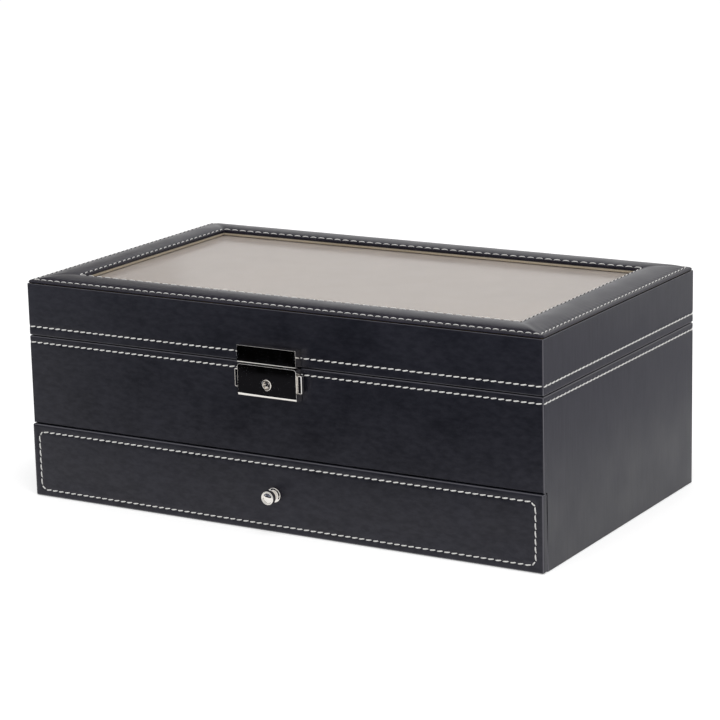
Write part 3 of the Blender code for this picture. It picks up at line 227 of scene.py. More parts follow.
# Materials: noise scales are cells a metre, relief is in metres
PEBBLE_SCALE = 950
PEBBLE_VALLEY = 0.28  # where the slope down to a valley ends
PEBBLE_PUSH = 0.0012  # uneven spacing
PEBBLE_PUSH_SCALE = 260
GRAIN_SCALE = 2600
GRAIN_SHARE = 0.35
LEATHER_RELIEF = 0.1 * MM
STREAKS_UPRIGHT = (650, 650, 55)
STREAKS_LEVEL = (170, 170, 380)
TONE_SCALE = 38
TONE_STREAKS = 0.4
SMOOTHER, ROUGHER = 0.05, 0.07  # spread of the leather's roughness
GLOSS = (0.32, 0.43)
GLOSS_TINT = (0.95, 0.92, 1.0)
EDGE_GLOSS = 1.1
EDGE_TURN = (0.82, 0.95)  # largest part of the normal, on an edge and on a wall
NAP_SCALE = 1500
NAP_RELIEF = 0.3 * MM
BRUSHED_SCALE = 28
FIBRE_RELIEF = 0.2 * MM
SCRATCH_SCALE = (300, 300, 9000)
SCRATCH_RELIEF = 0.03 * MM
SMUDGE_SCALE = 160
SMUDGE_SHADE = 0.93
SMUDGE_ROUGHER = 1.8
GLASS_COLOUR = (0.97, 0.94, 0.90)
GLASS_ROUGHNESS = (0.12, 0.18)
SMEAR_SCALE = 14
# pale layer over the glass: partly haze, partly a painted reflection that brightens the glass
# where it mirrors the dark cap
HAZE_AND_REFLECTION_COLOUR = (0.52, 0.46, 0.42)
HAZE_AND_REFLECTION_DEPTHS = (0.145, 0.175)  # how much it hides, seen straight on
HAZE_AND_REFLECTION_LEAST_SLANT = 0.1


def pebbles(tree, place):
    """Small rounded cells with fine valleys between them, 0 in the valleys."""
    uneven = noise_node(tree, place, PEBBLE_PUSH_SCALE, 2)
    push = node_of(tree, "VectorMath", {0: uneven, "Scale": PEBBLE_PUSH}, operation="SCALE")
    warped = node_of(tree, "VectorMath", {0: place, 1: push.outputs[0]}, operation="ADD")
    cells = node_of(
        tree, "TexVoronoi", {"Vector": warped.outputs[0], "Scale": PEBBLE_SCALE},
        feature="DISTANCE_TO_EDGE",
    )
    return ramp(tree, cells.outputs["Distance"], 0, 1, 0, PEBBLE_VALLEY)


def streaks(tree, place):
    """Hair-fine lines: upright on the side walls, level on the front and back."""
    normal = node_of(tree, "NewGeometry", {}).outputs["Normal"]
    side = calc(tree, "ABSOLUTE", node_of(tree, "SeparateXYZ", {0: normal}).outputs["X"], 0)
    upright = noise_node(tree, stretched(tree, place, STREAKS_UPRIGHT), 1, 3, 0.6)
    level = noise_node(tree, stretched(tree, place, STREAKS_LEVEL), 1, 3, 0.6)
    return node_of(tree, "Mix", {"Factor": side, "A": level, "B": upright}).outputs["Result"]


def edge_share(tree):
    """0 on the flat walls, 1 on the rounded edges between them."""
    normal = node_of(tree, "TexCoord", {}).outputs["Normal"]
    size = node_of(tree, "VectorMath", {0: normal}, operation="ABSOLUTE")
    x, y, z = node_of(tree, "SeparateXYZ", {0: size.outputs[0]}).outputs
    most = calc(tree, "MAXIMUM", calc(tree, "MAXIMUM", x, y), z)
    return ramp(tree, most, 1, 0, *EDGE_TURN)


def leather_material(name, dark, light, roughness, grain, streak_share, edge_gloss=0):
    """Fine-grained leather: pebbled grain, faint streaks, uneven gloss, edges rubbed shiny."""
    made, tree, shader = shader_of(name)
    place = place_of(tree)
    streak = streaks(tree, place)
    fine = noise_node(tree, place, GRAIN_SCALE, 2)
    grained = mixed(tree, pebbles(tree, place), fine, GRAIN_SHARE)
    bump(tree, shader, mixed(tree, grained, streak, streak_share), grain, LEATHER_RELIEF)
    tone = mixed(tree, noise_node(tree, place, TONE_SCALE, 3), streak, TONE_STREAKS)
    coloured(tree, shader, tone, dark, light)
    gloss = ramp(tree, streak, *GLOSS)
    if edge_gloss:
        gloss = calc(tree, "ADD", gloss, calc(tree, "MULTIPLY", edge_share(tree), edge_gloss))
    feed(tree, shader, {
        "Roughness": ramp(tree, tone, roughness - SMOOTHER, roughness + ROUGHER),
        "Specular IOR Level": gloss, "Specular Tint": (*GLOSS_TINT, 1),
    })
    return made


def velvet_material(name, dark, light, nap=NAP_SCALE):
    made, tree, shader = shader_of(name)
    place = place_of(tree)
    fibre = noise_node(tree, place, nap, 2, 0.7)
    brushed = noise_node(tree, place, BRUSHED_SCALE, 3, 0.5, 0.4)
    coloured(tree, shader, mixed(tree, fibre, brushed, 0.5), dark, light)
    bump(tree, shader, fibre, 0.45, NAP_RELIEF)
    feed(tree, shader, {
        "Roughness": 0.92, "Sheen Weight": 0.35, "Sheen Roughness": 0.4,
        "Specular IOR Level": 0.2,
    })
    return made


def metal_material(name, colour, roughness, scratch=0.02):
    made, tree, shader = shader_of(name)
    place = place_of(tree)
    lines = noise_node(tree, stretched(tree, place, SCRATCH_SCALE), 1, 2)
    smudge = noise_node(tree, place, SMUDGE_SCALE, 3)
    coloured(tree, shader, smudge, [SMUDGE_SHADE * value for value in colour], colour)
    bump(tree, shader, lines, scratch, SCRATCH_RELIEF)
    feed(tree, shader, {
        "Metallic": 1,
        "Roughness": ramp(tree, smudge, roughness, roughness * SMUDGE_ROUGHER + 0.01),
    })
    return made


def fibre_material(name, dark, light, scale, detail, spread, relief, values):
    """A matt surface, with one fine noise in its colour and its relief."""
    made, tree, shader = shader_of(name)
    fibre = noise_node(tree, place_of(tree), scale, detail, spread)
    coloured(tree, shader, fibre, dark, light)
    bump(tree, shader, fibre, relief, FIBRE_RELIEF)
    feed(tree, shader, values)
    return made


def glass_material():
    """Clear glass under a thin pale layer, partly milky haze and partly a painted reflection of
    the bright surround, which hides more at a slant.
    """
    made, tree, shader = shader_of("window_glass")
    smear = noise_node(tree, place_of(tree), SMEAR_SCALE, 3)
    feed(tree, shader, {
        "Base Color": (*GLASS_COLOUR, 1), "Transmission Weight": 1, "IOR": 1.5,
        "Roughness": ramp(tree, smear, *GLASS_ROUGHNESS),
    })
    # the pale layer, partly a painted reflection: a lit beige diffuse mixed over the clear glass
    haze_and_reflection = node_of(tree, "BsdfPrincipled", {"Base Color": (*HAZE_AND_REFLECTION_COLOUR, 1), "Roughness": 0.6})
    facing = node_of(tree, "LayerWeight", {}).outputs["Facing"]
    slant = calc(tree, "MAXIMUM", calc(tree, "SUBTRACT", 1, facing), HAZE_AND_REFLECTION_LEAST_SLANT)
    depth = calc(tree, "DIVIDE", ramp(tree, smear, *HAZE_AND_REFLECTION_DEPTHS), slant)
    clear = calc(tree, "POWER", math.e, calc(tree, "MULTIPLY", depth, -1))
    both = node_of(tree, "MixShader", {
        "Fac": calc(tree, "SUBTRACT", 1, clear), 1: shader.outputs[0], 2: haze_and_reflection.outputs[0],
    })
    feed(tree, tree.nodes["Material Output"], {"Surface": both.outputs[0]})
    return made


LEATHER = leather_material(
    "black_leather", (0.0060, 0.0064, 0.0102), (0.0105, 0.0110, 0.0172),
    roughness=0.38, grain=0.40, streak_share=0.60, edge_gloss=EDGE_GLOSS,
)
CAP_LEATHER = leather_material(
    "padded_leather", (0.0058, 0.0050, 0.0100), (0.0094, 0.0082, 0.0155),
    roughness=0.33, grain=0.20, streak_share=0.10,
)
VELVET = velvet_material("beige_velvet", (0.34, 0.28, 0.20), (0.50, 0.43, 0.33))
PILLOW = velvet_material("pillow_velvet", (0.46, 0.39, 0.30), (0.64, 0.56, 0.45))
FELT = velvet_material("black_felt", (0.010, 0.010, 0.011), (0.030, 0.030, 0.033), nap=2200)
CHROME = metal_material("polished_nickel", (0.80, 0.77, 0.73), roughness=0.04)
STEEL = metal_material("plain_steel", (0.50, 0.50, 0.50), roughness=0.28, scratch=0.05)
THREAD_LOOK = fibre_material(
    "stitching_thread", (0.61, 0.60, 0.58), (0.88, 0.87, 0.85), scale=2200, detail=2,
    spread=0.6, relief=0.5, values={"Roughness": 0.7, "Sheen Weight": 0.2},
)
GLASS = glass_material()
BOARD = fibre_material(
    "fibreboard", (0.19, 0.125, 0.07), (0.34, 0.24, 0.14), scale=900, detail=4,
    spread=0.7, relief=0.3, values={"Roughness": 0.8},
)
LOOKS = {
    "leather": LEATHER, "velvet": VELVET, "cushion": PILLOW, "fibreboard": BOARD, "felt": FELT,
    "window_glass": GLASS, "chrome": CHROME, "steel": STEEL,
}
SLOTS = {entry["node"]: entry["material_slot"] for entry in frame["record"]["subparts"]}


# Mesh helpers
EVEN_WEIGHT = 80  # how far large faces rule the shading


def paint(mesh, material):
    mesh.materials.clear()
    mesh.materials.append(material)


def new_object(name, data):
    item = bpy.data.objects.new(name, data)
    bpy.context.scene.collection.objects.link(item)
    return item


def plain_mesh(made, name):
    mesh = bpy.data.meshes.new(name)
    made.to_mesh(mesh)
    made.free()
    return mesh


def add_piece(name, mesh, material, body, slot_name, *replaced, even=False):
    """Puts a finished mesh into the scene as a piece that rides on a body."""
    paint(mesh, material)
    item = new_object(name, mesh)
    if even:
        normals = item.modifiers.new("even_normals", "WEIGHTED_NORMAL")
        normals.keep_sharp = True
        normals.weight = EVEN_WEIGHT
    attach(item, body)
    if replaced:
        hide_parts(*replaced)
    return item


def mesh_of(made, name, sharp=None):
    bmesh.ops.recalc_face_normals(made, faces=made.faces)
    mesh = plain_mesh(made, name)
    mesh.shade_smooth()
    if sharp is not None:
        mesh.set_sharp_from_angle(angle=math.radians(sharp))
    return mesh


def welded_copy(node):
    """A node's mesh with its corners joined and its flat faces whole."""
    made = bmesh.new()
    made.from_mesh(frame["nodes"][node].data)
    bmesh.ops.remove_doubles(made, verts=made.verts, dist=WELD)
    bmesh.ops.dissolve_limit(
        made, angle_limit=FLAT_ANGLE, verts=made.verts, edges=made.edges,
    )
    return made


def bevel(made, edges, width):
    bmesh.ops.bevel(
        made, geom=edges, offset=width, segments=3, profile=0.5, affect="EDGES",
        clamp_overlap=True,
    )


def circle(steps):
    angles = (2 * math.pi * step / steps for step in range(steps))
    return [(math.cos(angle), math.sin(angle)) for angle in angles]


def join_rings(made, rings):
    """Bands of faces between closed rings that have as many corners."""
    for last, ring in zip(rings, rings[1:]):
        for i in range(len(ring)):
            j = (i + 1) % len(ring)
            made.faces.new((last[i], last[j], ring[j], ring[i]))


def softened(node, body, width):
    """A copy of a node in its own look, with its edges rounded."""
    made = welded_copy(node)
    bevel(made, [
        edge for edge in made.edges
        if edge.is_manifold and edge.calc_face_angle(0) > EDGE_ANGLE
    ], width)
    slot_name = SLOTS[node]
    return add_piece(
        f"{node}_soft", mesh_of(made, node, 40), LOOKS[slot_name], body, slot_name, node,
        even=True,
    )


def slice_faces(made, faces, axis, places):
    """Cuts faces by planes square to an axis at the given places; returns all the pieces."""
    normal = Vector((0, 0, 0))
    normal[axis] = 1
    done = []
    active = list(faces)
    for place in sorted(places):
        crossing = [
            face for face in active
            if min(v.co[axis] for v in face.verts) < place - CUT_SLACK
            and max(v.co[axis] for v in face.verts) > place + CUT_SLACK
        ]
        taken = set(crossing)
        active = [face for face in active if face not in taken]
        geometry = crossing + list(dict.fromkeys(e for f in crossing for e in f.edges))
        geometry += dict.fromkeys(v for f in crossing for v in f.verts)
        result = bmesh.ops.bisect_plane(
            made, geom=geometry, dist=CUT_SLACK, plane_co=normal * place, plane_no=normal,
        )
        for part in result["geom"]:
            if isinstance(part, bmesh.types.BMFace):
                low = max(v.co[axis] for v in part.verts) < place + 2 * CUT_SLACK
                (done if low else active).append(part)
    return done + active


# Stitching: a slightly bent length of thread for each stitch, its ends in the leather
def add_stitch(made, middle, along, outward, shuffle, length, thread):
    """Adds one stitch at middle, lying along a direction on a surface with the given normal."""
    tilt = STITCH_TILT + shuffle.uniform(-STITCH_TILT_SPREAD, STITCH_TILT_SPREAD)
    along = (Matrix.Rotation(math.radians(tilt), 3, outward) @ along).normalized()
    across = outward.cross(along)
    size = shuffle.uniform(1 - STITCH_SIZE_SPREAD, 1 + STITCH_SIZE_SPREAD) * length
    rings = []
    for number in range(STITCH_RINGS):
        share = number / (STITCH_RINGS - 1)
        bend = math.sin(math.pi * share) ** 0.5
        swell = STITCH_ENDS + (1 - STITCH_ENDS) * bend
        height = STITCH_BULGE * thread * bend - STITCH_SUNK * thread
        ring = []
        for x, y in circle(STITCH_SIDES):
            offset = (across * x + outward * y) * thread / 2 * swell
            place = middle + along * (share - 0.5) * size + outward * height + offset
            ring.append(made.verts.new(place))
        rings.append(ring)
    made.faces.new(rings[0][::-1])
    join_rings(made, rings)
    made.faces.new(rings[-1])


def stitch_count(length, pitch=STITCH_PITCH):
    return max(1, round(length / pitch))


def run_of_stitches(
    made, start, end, outward, shuffle, pitch=STITCH_PITCH, share=STITCH_SHARE, thread=THREAD,
):
    """Stitches at even pitch from start to end."""
    run = end - start
    count = stitch_count(run.length, pitch)
    along = run.normalized()
    length = run.length / count * share
    for number in range(count):
        middle = start.lerp(end, (number + 0.5) / count)
        add_stitch(made, middle, along, outward, shuffle, length, thread)


def ring_of_stitches(
    name, body, depths, reaches, height, seed, upward=False,
    pitches=(STITCH_PITCH, STITCH_PITCH), shares=(STITCH_SHARE, UPRIGHT_SHARE), thread=THREAD,
):
    """Stitches round four sides; each pair is for front and back, and for the sides."""
    made = bmesh.new()
    shuffle = random.Random(seed)
    for number in range(4):
        kind = number % 2
        outward, along = (Vector((*way, 0)) for way in SIDES[number])
        middle = outward * depths[kind] + UP * height
        reach = along * reaches[kind]
        run_of_stitches(
            made, middle - reach, middle + reach, UP if upward else outward, shuffle,
            pitches[kind], shares[kind], thread,
        )
    add_piece(name, mesh_of(made, name), THREAD_LOOK, body, "leather")


def belt_of_stitches(name, body, height, seed):
    """Stitches round all four walls at one height."""
    depths = (HALF_Y - THREAD_SINK, HALF_X - THREAD_SINK)
    ring_of_stitches(
        name, body, depths, (HALF_X - CORNER_MARGIN, HALF_Y - CORNER_MARGIN), height, seed,
    )


def hole_share(along, reach, pitch=STITCH_PITCH):
    """1 at the needle holes and 0 between them, on a line of stitches from -reach to reach."""
    count = stitch_count(2 * reach, pitch)
    return 0.5 + 0.5 * math.cos(math.pi * (along + reach) / reach * count)


def groove(hole, away):
    """How far leather is drawn in, at a number of groove widths from the line of stitches."""
    return GROOVE_DEPTH * (GROOVE_SHALLOW + (1 - GROOVE_SHALLOW) * hole) * math.exp(-away * away)


# Leather walls: the CAD covering with a drawn-in groove under each line of stitches
def wall_gap(point):
    """How far inside the nearest outer wall a point lies."""
    return min(HALF_X - abs(point.x), HALF_Y - abs(point.y))


def round_edges(made, chosen, width):
    """Rounds the sharp outward edges whose two ends are both chosen."""
    bevel(made, [
        edge for edge in made.edges
        if edge.is_manifold and edge.is_convex and edge.calc_face_angle(0) > CORNER_ANGLE
        and all(chosen(vert) for vert in edge.verts)
    ], width)
    made.normal_update()


def is_outer_wall(face):
    middle = face.calc_center_median()
    outward = face.normal.xy.dot(middle.xy) > 0
    return abs(face.normal.z) < UPRIGHT and outward and wall_gap(middle) < EDGE_ROUND


def stitched_walls(name, node, body, height):
    """The leather of four walls, with rounded edges and a groove under its line of stitches."""
    made = welded_copy(node)
    round_edges(made, lambda vert: wall_gap(vert.co) < NEAR, EDGE_ROUND)
    outer = [face for face in made.faces if is_outer_wall(face)]
    rows = [height + step * GROOVE_WIDTH for step in GROOVE_STEPS]
    pieces = slice_faces(made, outer, 2, rows)
    reach = GROOVE_REACH * GROOVE_WIDTH
    band = [face for face in pieces if abs(face.calc_center_median().z - height) < reach]
    for axis, half in ((0, HALF_X), (1, HALF_Y)):
        stitched = half - CORNER_MARGIN
        count = stitch_count(2 * stitched) * COLUMNS_A_STITCH
        places = [stitched * (2 * number / count - 1) for number in range(1, count)]
        flat = [face for face in band if abs(face.normal[1 - axis]) > SQUARE]
        slice_faces(made, flat, axis, places)
    made.normal_update()
    for vert in made.verts:
        rise = abs(vert.co.z - height) / GROOVE_WIDTH
        if rise >= GROOVE_REACH - 0.01 or vert.normal.xy.dot(vert.co.xy) <= 0:
            continue
        on_side = HALF_X - abs(vert.co.x) < NEAR
        on_front = HALF_Y - abs(vert.co.y) < NEAR
        hole = CORNER_HOLE
        if on_side and not on_front:
            hole = hole_share(vert.co.y, HALF_Y - CORNER_MARGIN)
        if on_front and not on_side:
            hole = hole_share(vert.co.x, HALF_X - CORNER_MARGIN)
        vert.co -= vert.normal.xy.to_3d().normalized() * groove(hole, rise)
    add_piece(name, mesh_of(made, name, 40), LEATHER, body, "leather", node, even=True)


# Drawer front: the CAD front with a groove round its stitched rectangle
DRAWER_MIDDLE = (DRAWER_STITCH_LOW + DRAWER_STITCH_HIGH) / 2
DRAWER_HALF_Z = (DRAWER_STITCH_HIGH - DRAWER_STITCH_LOW) / 2
DRAWER_RUN_X = DRAWER_STITCH_X - DRAWER_STITCH_CORNER
DRAWER_RUN_Z = DRAWER_HALF_Z - DRAWER_STITCH_CORNER


def drawer_front_groove(x, z):
    """How far the leather is drawn in at a place on the drawer front."""
    rise = z - DRAWER_MIDDLE
    over_x = abs(x) - DRAWER_RUN_X
    over_z = abs(rise) - DRAWER_RUN_Z
    outside = math.hypot(max(over_x, 0), max(over_z, 0))
    away = abs(outside + min(max(over_x, over_z), 0) - DRAWER_STITCH_CORNER) / GROOVE_WIDTH
    if away > GROOVE_REACH:
        return 0.0
    hole = ROUND_HOLE
    if over_x < 0 < over_z:
        hole = hole_share(x, DRAWER_RUN_X)
    if over_z < 0 < over_x:
        hole = hole_share(rise, DRAWER_RUN_Z)
    return groove(hole, away)


def cuts_across(middle, line, run):
    """Where the front is cut in one direction: along the stitches, and across their groove."""
    count = stitch_count(2 * run) * COLUMNS_A_STITCH
    places = [middle + run * (2 * number / count - 1) for number in range(count + 1)]
    return places + [
        middle + side * (line + step * GROOVE_WIDTH) for side in (-1, 1) for step in GROOVE_STEPS
    ]


def drawer_front():
    """The drawer's leather front, with a groove under its stitched rectangle."""
    made = welded_copy("drawer_front")
    round_edges(made, lambda vert: vert.co.y < FRONT_LOW.y + NEAR, EDGE_ROUND)
    face = [max((f for f in made.faces if f.normal.y < -SQUARE), key=lambda f: f.calc_area())]
    pieces = slice_faces(made, face, 2, cuts_across(DRAWER_MIDDLE, DRAWER_HALF_Z, DRAWER_RUN_Z))
    pieces = slice_faces(made, pieces, 0, cuts_across(0, DRAWER_STITCH_X, DRAWER_RUN_X))
    for vert in {v for f in pieces for v in f.verts}:
        vert.co.y += drawer_front_groove(vert.co.x, vert.co.z)
    name = "drawer_front_leather"
    add_piece(
        name, mesh_of(made, name, 40), LEATHER, "drawer", "leather", "drawer_front", even=True,
    )


def drawer_stitches():
    made = bmesh.new()
    shuffle = random.Random(13)
    y = FRONT_LOW.y + THREAD_SINK
    x, z = DRAWER_STITCH_X, DRAWER_HALF_Z
    run_x, run_z, middle = DRAWER_RUN_X, DRAWER_RUN_Z, DRAWER_MIDDLE
    corners = [Vector((across, y, middle + rise)) for across, rise in (
        (-run_x, -z), (run_x, -z), (x, -run_z), (x, run_z),
        (run_x, z), (-run_x, z), (-x, run_z), (-x, -run_z),
    )]
    for start, end in zip(corners, corners[1:] + corners[:1]):
        share = UPRIGHT_SHARE if start.x == end.x else STITCH_SHARE
        run_of_stitches(made, start, end, Vector((0, -1, 0)), shuffle, share=share)
    name = "drawer_stitches"
    add_piece(name, mesh_of(made, name), THREAD_LOOK, "drawer", "leather")


# Padded cap: the inner seam and the padding, from the outer face inwards
CAP_SEAM_SIDE = CAP_SIDE - CAP_INNER_MARGIN
CAP_SEAM_FRONT = CAP_FRONT - CAP_INNER_MARGIN
CAP_SPAN_SIDE = CAP_SEAM_SIDE - CAP_OUTER_STITCH
CAP_SPAN_FRONT = CAP_SEAM_FRONT - CAP_OUTER_STITCH


def cap_swell(share):
    """Height of the padding, 0 to 1, across it from the outer stitch line to the inner one."""
    if share < CAP_CREST_SHARE:
        return math.sin(math.pi / 2 * share / CAP_CREST_SHARE) ** CAP_SWELL_OUTER
    return 1 - ((share - CAP_CREST_SHARE) / (1 - CAP_CREST_SHARE)) ** CAP_SWELL_INNER


def seam_rows(number, side, front, seat):
    """Rows across the drawn-in line of the outer seam, 0, or the inner one, 1."""
    return [
        (side + step * GROOVE_WIDTH, front + step * GROOVE_WIDTH, CAP_SEAM_CORNERS[number],
         seat - GROOVE_DEPTH * math.exp(-step * step * 2), number)
        for step in CAP_SEAM_STEPS[number]
    ]


def cap_section():
    """(inset at the sides, inset at front and back, corner radius, height above the
    underside, share across the padding or None), round the whole section."""
    rows = []
    for step in range(CAP_ARC_STEPS + 1):
        angle = math.pi / 2 * step / CAP_ARC_STEPS
        inset = CAP_LIP_INSET + CAP_LIP_ROUND * (1 - math.cos(angle))
        height = CAP_LIP_START + (CAP_LIP - CAP_LIP_START) * math.sin(angle)
        rows.append((inset, inset, CAP_CORNER - inset * 0.5, height, None))
    stitch = CAP_OUTER_STITCH
    rows += seam_rows(0, stitch, stitch, CAP_OUTER_SEAT)
    first, reach = CAP_PADDING_SHARES
    for step in range(1, CAP_PADDING_ROWS):
        share = first + reach * (0.5 - 0.5 * math.cos(math.pi * step / CAP_PADDING_ROWS))
        seat = CAP_OUTER_SEAT if share < CAP_CREST_SHARE else CAP_INNER_SEAT
        rows.append((
            stitch + CAP_SPAN_SIDE * share ** CAP_SIDE_EASE, stitch + CAP_SPAN_FRONT * share,
            CAP_PADDING_CORNER, seat + (CAP_CROWN - seat) * cap_swell(share), share,
        ))
    rows += seam_rows(1, CAP_SEAM_SIDE, CAP_SEAM_FRONT, CAP_INNER_SEAT)
    for step in range(4):
        angle = math.pi / 2 * step / 3
        inset = CAP_INNER_EDGE * (1 - math.sin(angle))
        rows.append((
            CAP_SIDE - inset, CAP_FRONT - inset, CAP_INNER_CORNER,
            CAP_INNER_SEAT - CAP_INNER_EDGE * (1 - math.cos(angle)), None,
        ))
    floor = LINER_HIGH.z + FIT - CAP_LOW.z
    rebate = (HALF_X - LINER_HIGH.x - FIT, HALF_Y - LINER_HIGH.y - FIT)
    foot = CAP_LIP_INSET + CAP_FOOT[0]
    rows += [
        (CAP_SIDE, CAP_FRONT, CAP_INNER_CORNER, floor + FIT, None),
        (CAP_SIDE, CAP_FRONT, CAP_INNER_CORNER, floor, None),
        (*rebate, CAP_INNER_CORNER, floor, None),
        (*rebate, CAP_INNER_CORNER, 0, None),
        (foot, foot, CAP_CORNER - CAP_FOOT[1], 0, None),
    ]
    return rows


def cap_columns():
    """(side, "run", share along the side) or (side, "turn", share of its corner)."""
    columns = []
    for side in range(4):
        half = (HALF_X, HALF_Y)[side % 2]
        count = stitch_count(2 * (half - CAP_OUTER_STITCH)) * COLUMNS_A_STITCH
        columns += [(side, "run", number / count) for number in range(count + 1)]
        columns += [(side, "turn", step / CAP_TURN_STEPS) for step in range(1, CAP_TURN_STEPS)]
    return columns


def cap_point(column, half_x, half_y, radius):
    """A point of a rounded rectangle, and how far along its side it is, or None in a corner."""
    side, kind, share = column
    outward, along = (Vector((*way, 0)) for way in SIDES[side])
    reach = (half_x, half_y)[side % 2] - radius
    depth = (half_y, half_x)[side % 2]
    if kind == "run":
        travel = reach * (2 * share - 1)
        return outward * depth + along * travel, travel
    angle = math.pi / 2 * share
    turned = outward * math.cos(angle) + along * math.sin(angle)
    return outward * (depth - radius) + along * reach + turned * radius, None


def cap_relief(point, travel, side, share, inset):
    """Puckers at the thread, a slow wave in the padding, and a crease at the mitres."""
    half = (HALF_X, HALF_Y)[side % 2]
    inner_inset = (CAP_SEAM_SIDE, CAP_SEAM_FRONT)[side % 2]
    relief = 0
    for seam_inset, pitches, away in (
        (CAP_OUTER_STITCH, CAP_OUTER_PITCHES, share), (inner_inset, CAP_INNER_PITCHES, 1 - share),
    ):
        hole = CORNER_HOLE
        if travel is not None:
            reach = half - seam_inset
            hole = hole_share(travel * reach / (half - inset), reach, pitches[side % 2])
        relief -= CAP_PUCKER * hole * math.exp(-away * CAP_SPAN_FRONT / CAP_PUCKER_FALL)
    middle = math.sin(math.pi * min(max(share, 0), 1)) ** 0.5
    slow, fine = CAP_WAVE_SCALES
    relief += CAP_WAVE * middle * noise.noise(Vector((point.x * slow, point.y * slow, side)))
    relief += 0.5 * CAP_WAVE * middle * noise.noise(Vector((point.x * fine, point.y * fine, 7)))
    slope = (HALF_X - abs(point.x) - CAP_OUTER_STITCH) * CAP_SPAN_FRONT
    slope -= (HALF_Y - abs(point.y) - CAP_OUTER_STITCH) * CAP_SPAN_SIDE
    away = abs(slope) / math.hypot(CAP_SPAN_FRONT, CAP_SPAN_SIDE)
    return relief - CAP_MITRE * middle * math.exp(-(away / CAP_MITRE_WIDTH) ** 2)


def padded_cap():
    """The cap's leather over its padding, as one section carried round the window."""
    made = bmesh.new()
    columns = cap_columns()
    loops = []
    for side_inset, front_inset, radius, height, share in cap_section():
        loop = []
        for column in columns:
            point, travel = cap_point(column, HALF_X - side_inset, HALF_Y - front_inset, radius)
            point.z = CAP_LOW.z + height
            if share is not None:
                side = column[0]
                inset = (side_inset, front_inset)[side % 2]
                point.z += cap_relief(point, travel, side, share, inset)
            loop.append(made.verts.new(point))
        loops.append(loop)
    join_rings(made, loops + loops[:1])
    bmesh.ops.remove_doubles(made, verts=made.verts, dist=WELD)
    item = add_piece(
        "cap_leather", mesh_of(made, "cap_leather", 50), CAP_LEATHER, "lid", "leather",
        "padded_cap",
    )


def cap_stitches(name, side_inset, front_inset, height, pitches, seed):
    x, y = HALF_X - side_inset, HALF_Y - front_inset
    ring_of_stitches(
        name, "lid", (y, x), (x, y), CAP_LOW.z + height, seed, True, pitches,
        CAP_STITCH_SHARES, CAP_THREAD,
    )


# Turned pieces
TURN_STEPS = 64
SHORT_EDGE = 0.9 * MM  # the facets of a corner, which a rim leaves as they are


def turned_piece(profile, place):
    """Turns (radius, depth) points round an axis that runs back along +Y from place."""
    made = bmesh.new()
    rows = []
    for radius, depth in profile:
        points = circle(TURN_STEPS) if radius else [(0, 0)]
        rows.append([
            made.verts.new(place + Vector((radius * x, depth, radius * z))) for x, z in points
        ])
    for last, row in zip(rows, rows[1:]):
        for i in range(TURN_STEPS):
            j = (i + 1) % TURN_STEPS
            quad = ((last, i), (last, j), (row, j), (row, i))
            unique = list(dict.fromkeys(ring[number % len(ring)] for ring, number in quad))
            if len(unique) > 2:
                made.faces.new(unique)
    return made


def arc(centre_radius, centre_depth, radius, start, end, steps=5):
    """Points of a rounded profile corner; angles in degrees, 0 outwards and 90 to the front."""
    points = []
    for step in range(steps + 1):
        angle = math.radians(start + (end - start) * step / steps)
        points.append((
            centre_radius + radius * math.cos(angle), centre_depth - radius * math.sin(angle),
        ))
    return points


def knob():
    """A beaded head with a low dome, a neck, and a flange that sits on the leather."""
    low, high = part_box("drawer_knob")
    head, thick, neck, flange = 3.9 * MM, 3.3 * MM, 2.5 * MM, 1.0 * MM
    bead, dome = 0.55 * MM, 0.48 * MM
    back, fillet, rim = 0.5 * MM, 0.7 * MM, 0.4 * MM
    length = high.y - low.y
    inner = head - 2 * bead
    profile = [
        (inner * s, bead * 1.1 - dome * (1 - s * s)) for s in (0, 0.25, 0.5, 0.75, 0.92)
    ]
    profile += arc(head - bead, bead, bead, 180, 0, 10)
    profile += arc(head - back, thick - back, back, 0, -90)
    profile += arc(neck + fillet, thick + fillet, fillet, 90, 180)
    profile += arc(neck + fillet, length - flange - fillet, fillet, 180, 270)
    profile += arc(high.x - rim, length - flange + rim, rim, 90, 0)
    profile += [(high.x, length), (0, length)]
    made = turned_piece(profile, Vector((0, low.y, (low.z + high.z) / 2)))
    add_piece("knob", mesh_of(made, "knob", 50), CHROME, "drawer", "chrome", "drawer_knob")


def metal_copy(node, body, rim=0):
    """A polished copy of a node; a rim rounds the long edges of its front face."""
    made = welded_copy(node)
    if rim:
        front = min(vert.co.y for vert in made.verts) + NEAR / 2
        short = [
            vert for vert in made.verts
            if all(edge.calc_length() < SHORT_EDGE for edge in vert.link_edges)
        ]
        round_edges(made, lambda vert: vert.co.y < front and vert not in short, rim)
    name = f"{node}_polished"
    add_piece(name, mesh_of(made, node, 32), CHROME, body, "chrome", node, even=True)


# Watch cushions: one pillow, blown up by a short cloth simulation, then copied into the slots
PILLOW_INSET = 1.5 * MM
PILLOW_CORNER = 10.0 * MM
PILLOW_CELL = 4.2 * MM
PILLOW_SWELL = 5.0 * MM
PILLOW_PRESSURE = 4.0
PILLOW_FRAMES = 20
PILLOW_SEAM = 7.0 * MM  # seams in from the two ends
PILLOW_SEAM_DEPTH = 0.9 * MM
PILLOW_SEAM_WIDTH = 2.0 * MM
PILLOW_WRINKLE = 0.35 * MM
PILLOW_WRINKLE_SCALE = 60
CUSHION_NODES = [f"{row}_cushion_{number}" for row in ("front", "back") for number in range(1, 7)]


def apply_modifiers(item):
    ready = item.evaluated_get(bpy.context.evaluated_depsgraph_get())
    item.data = bpy.data.meshes.new_from_object(ready)
    item.modifiers.clear()


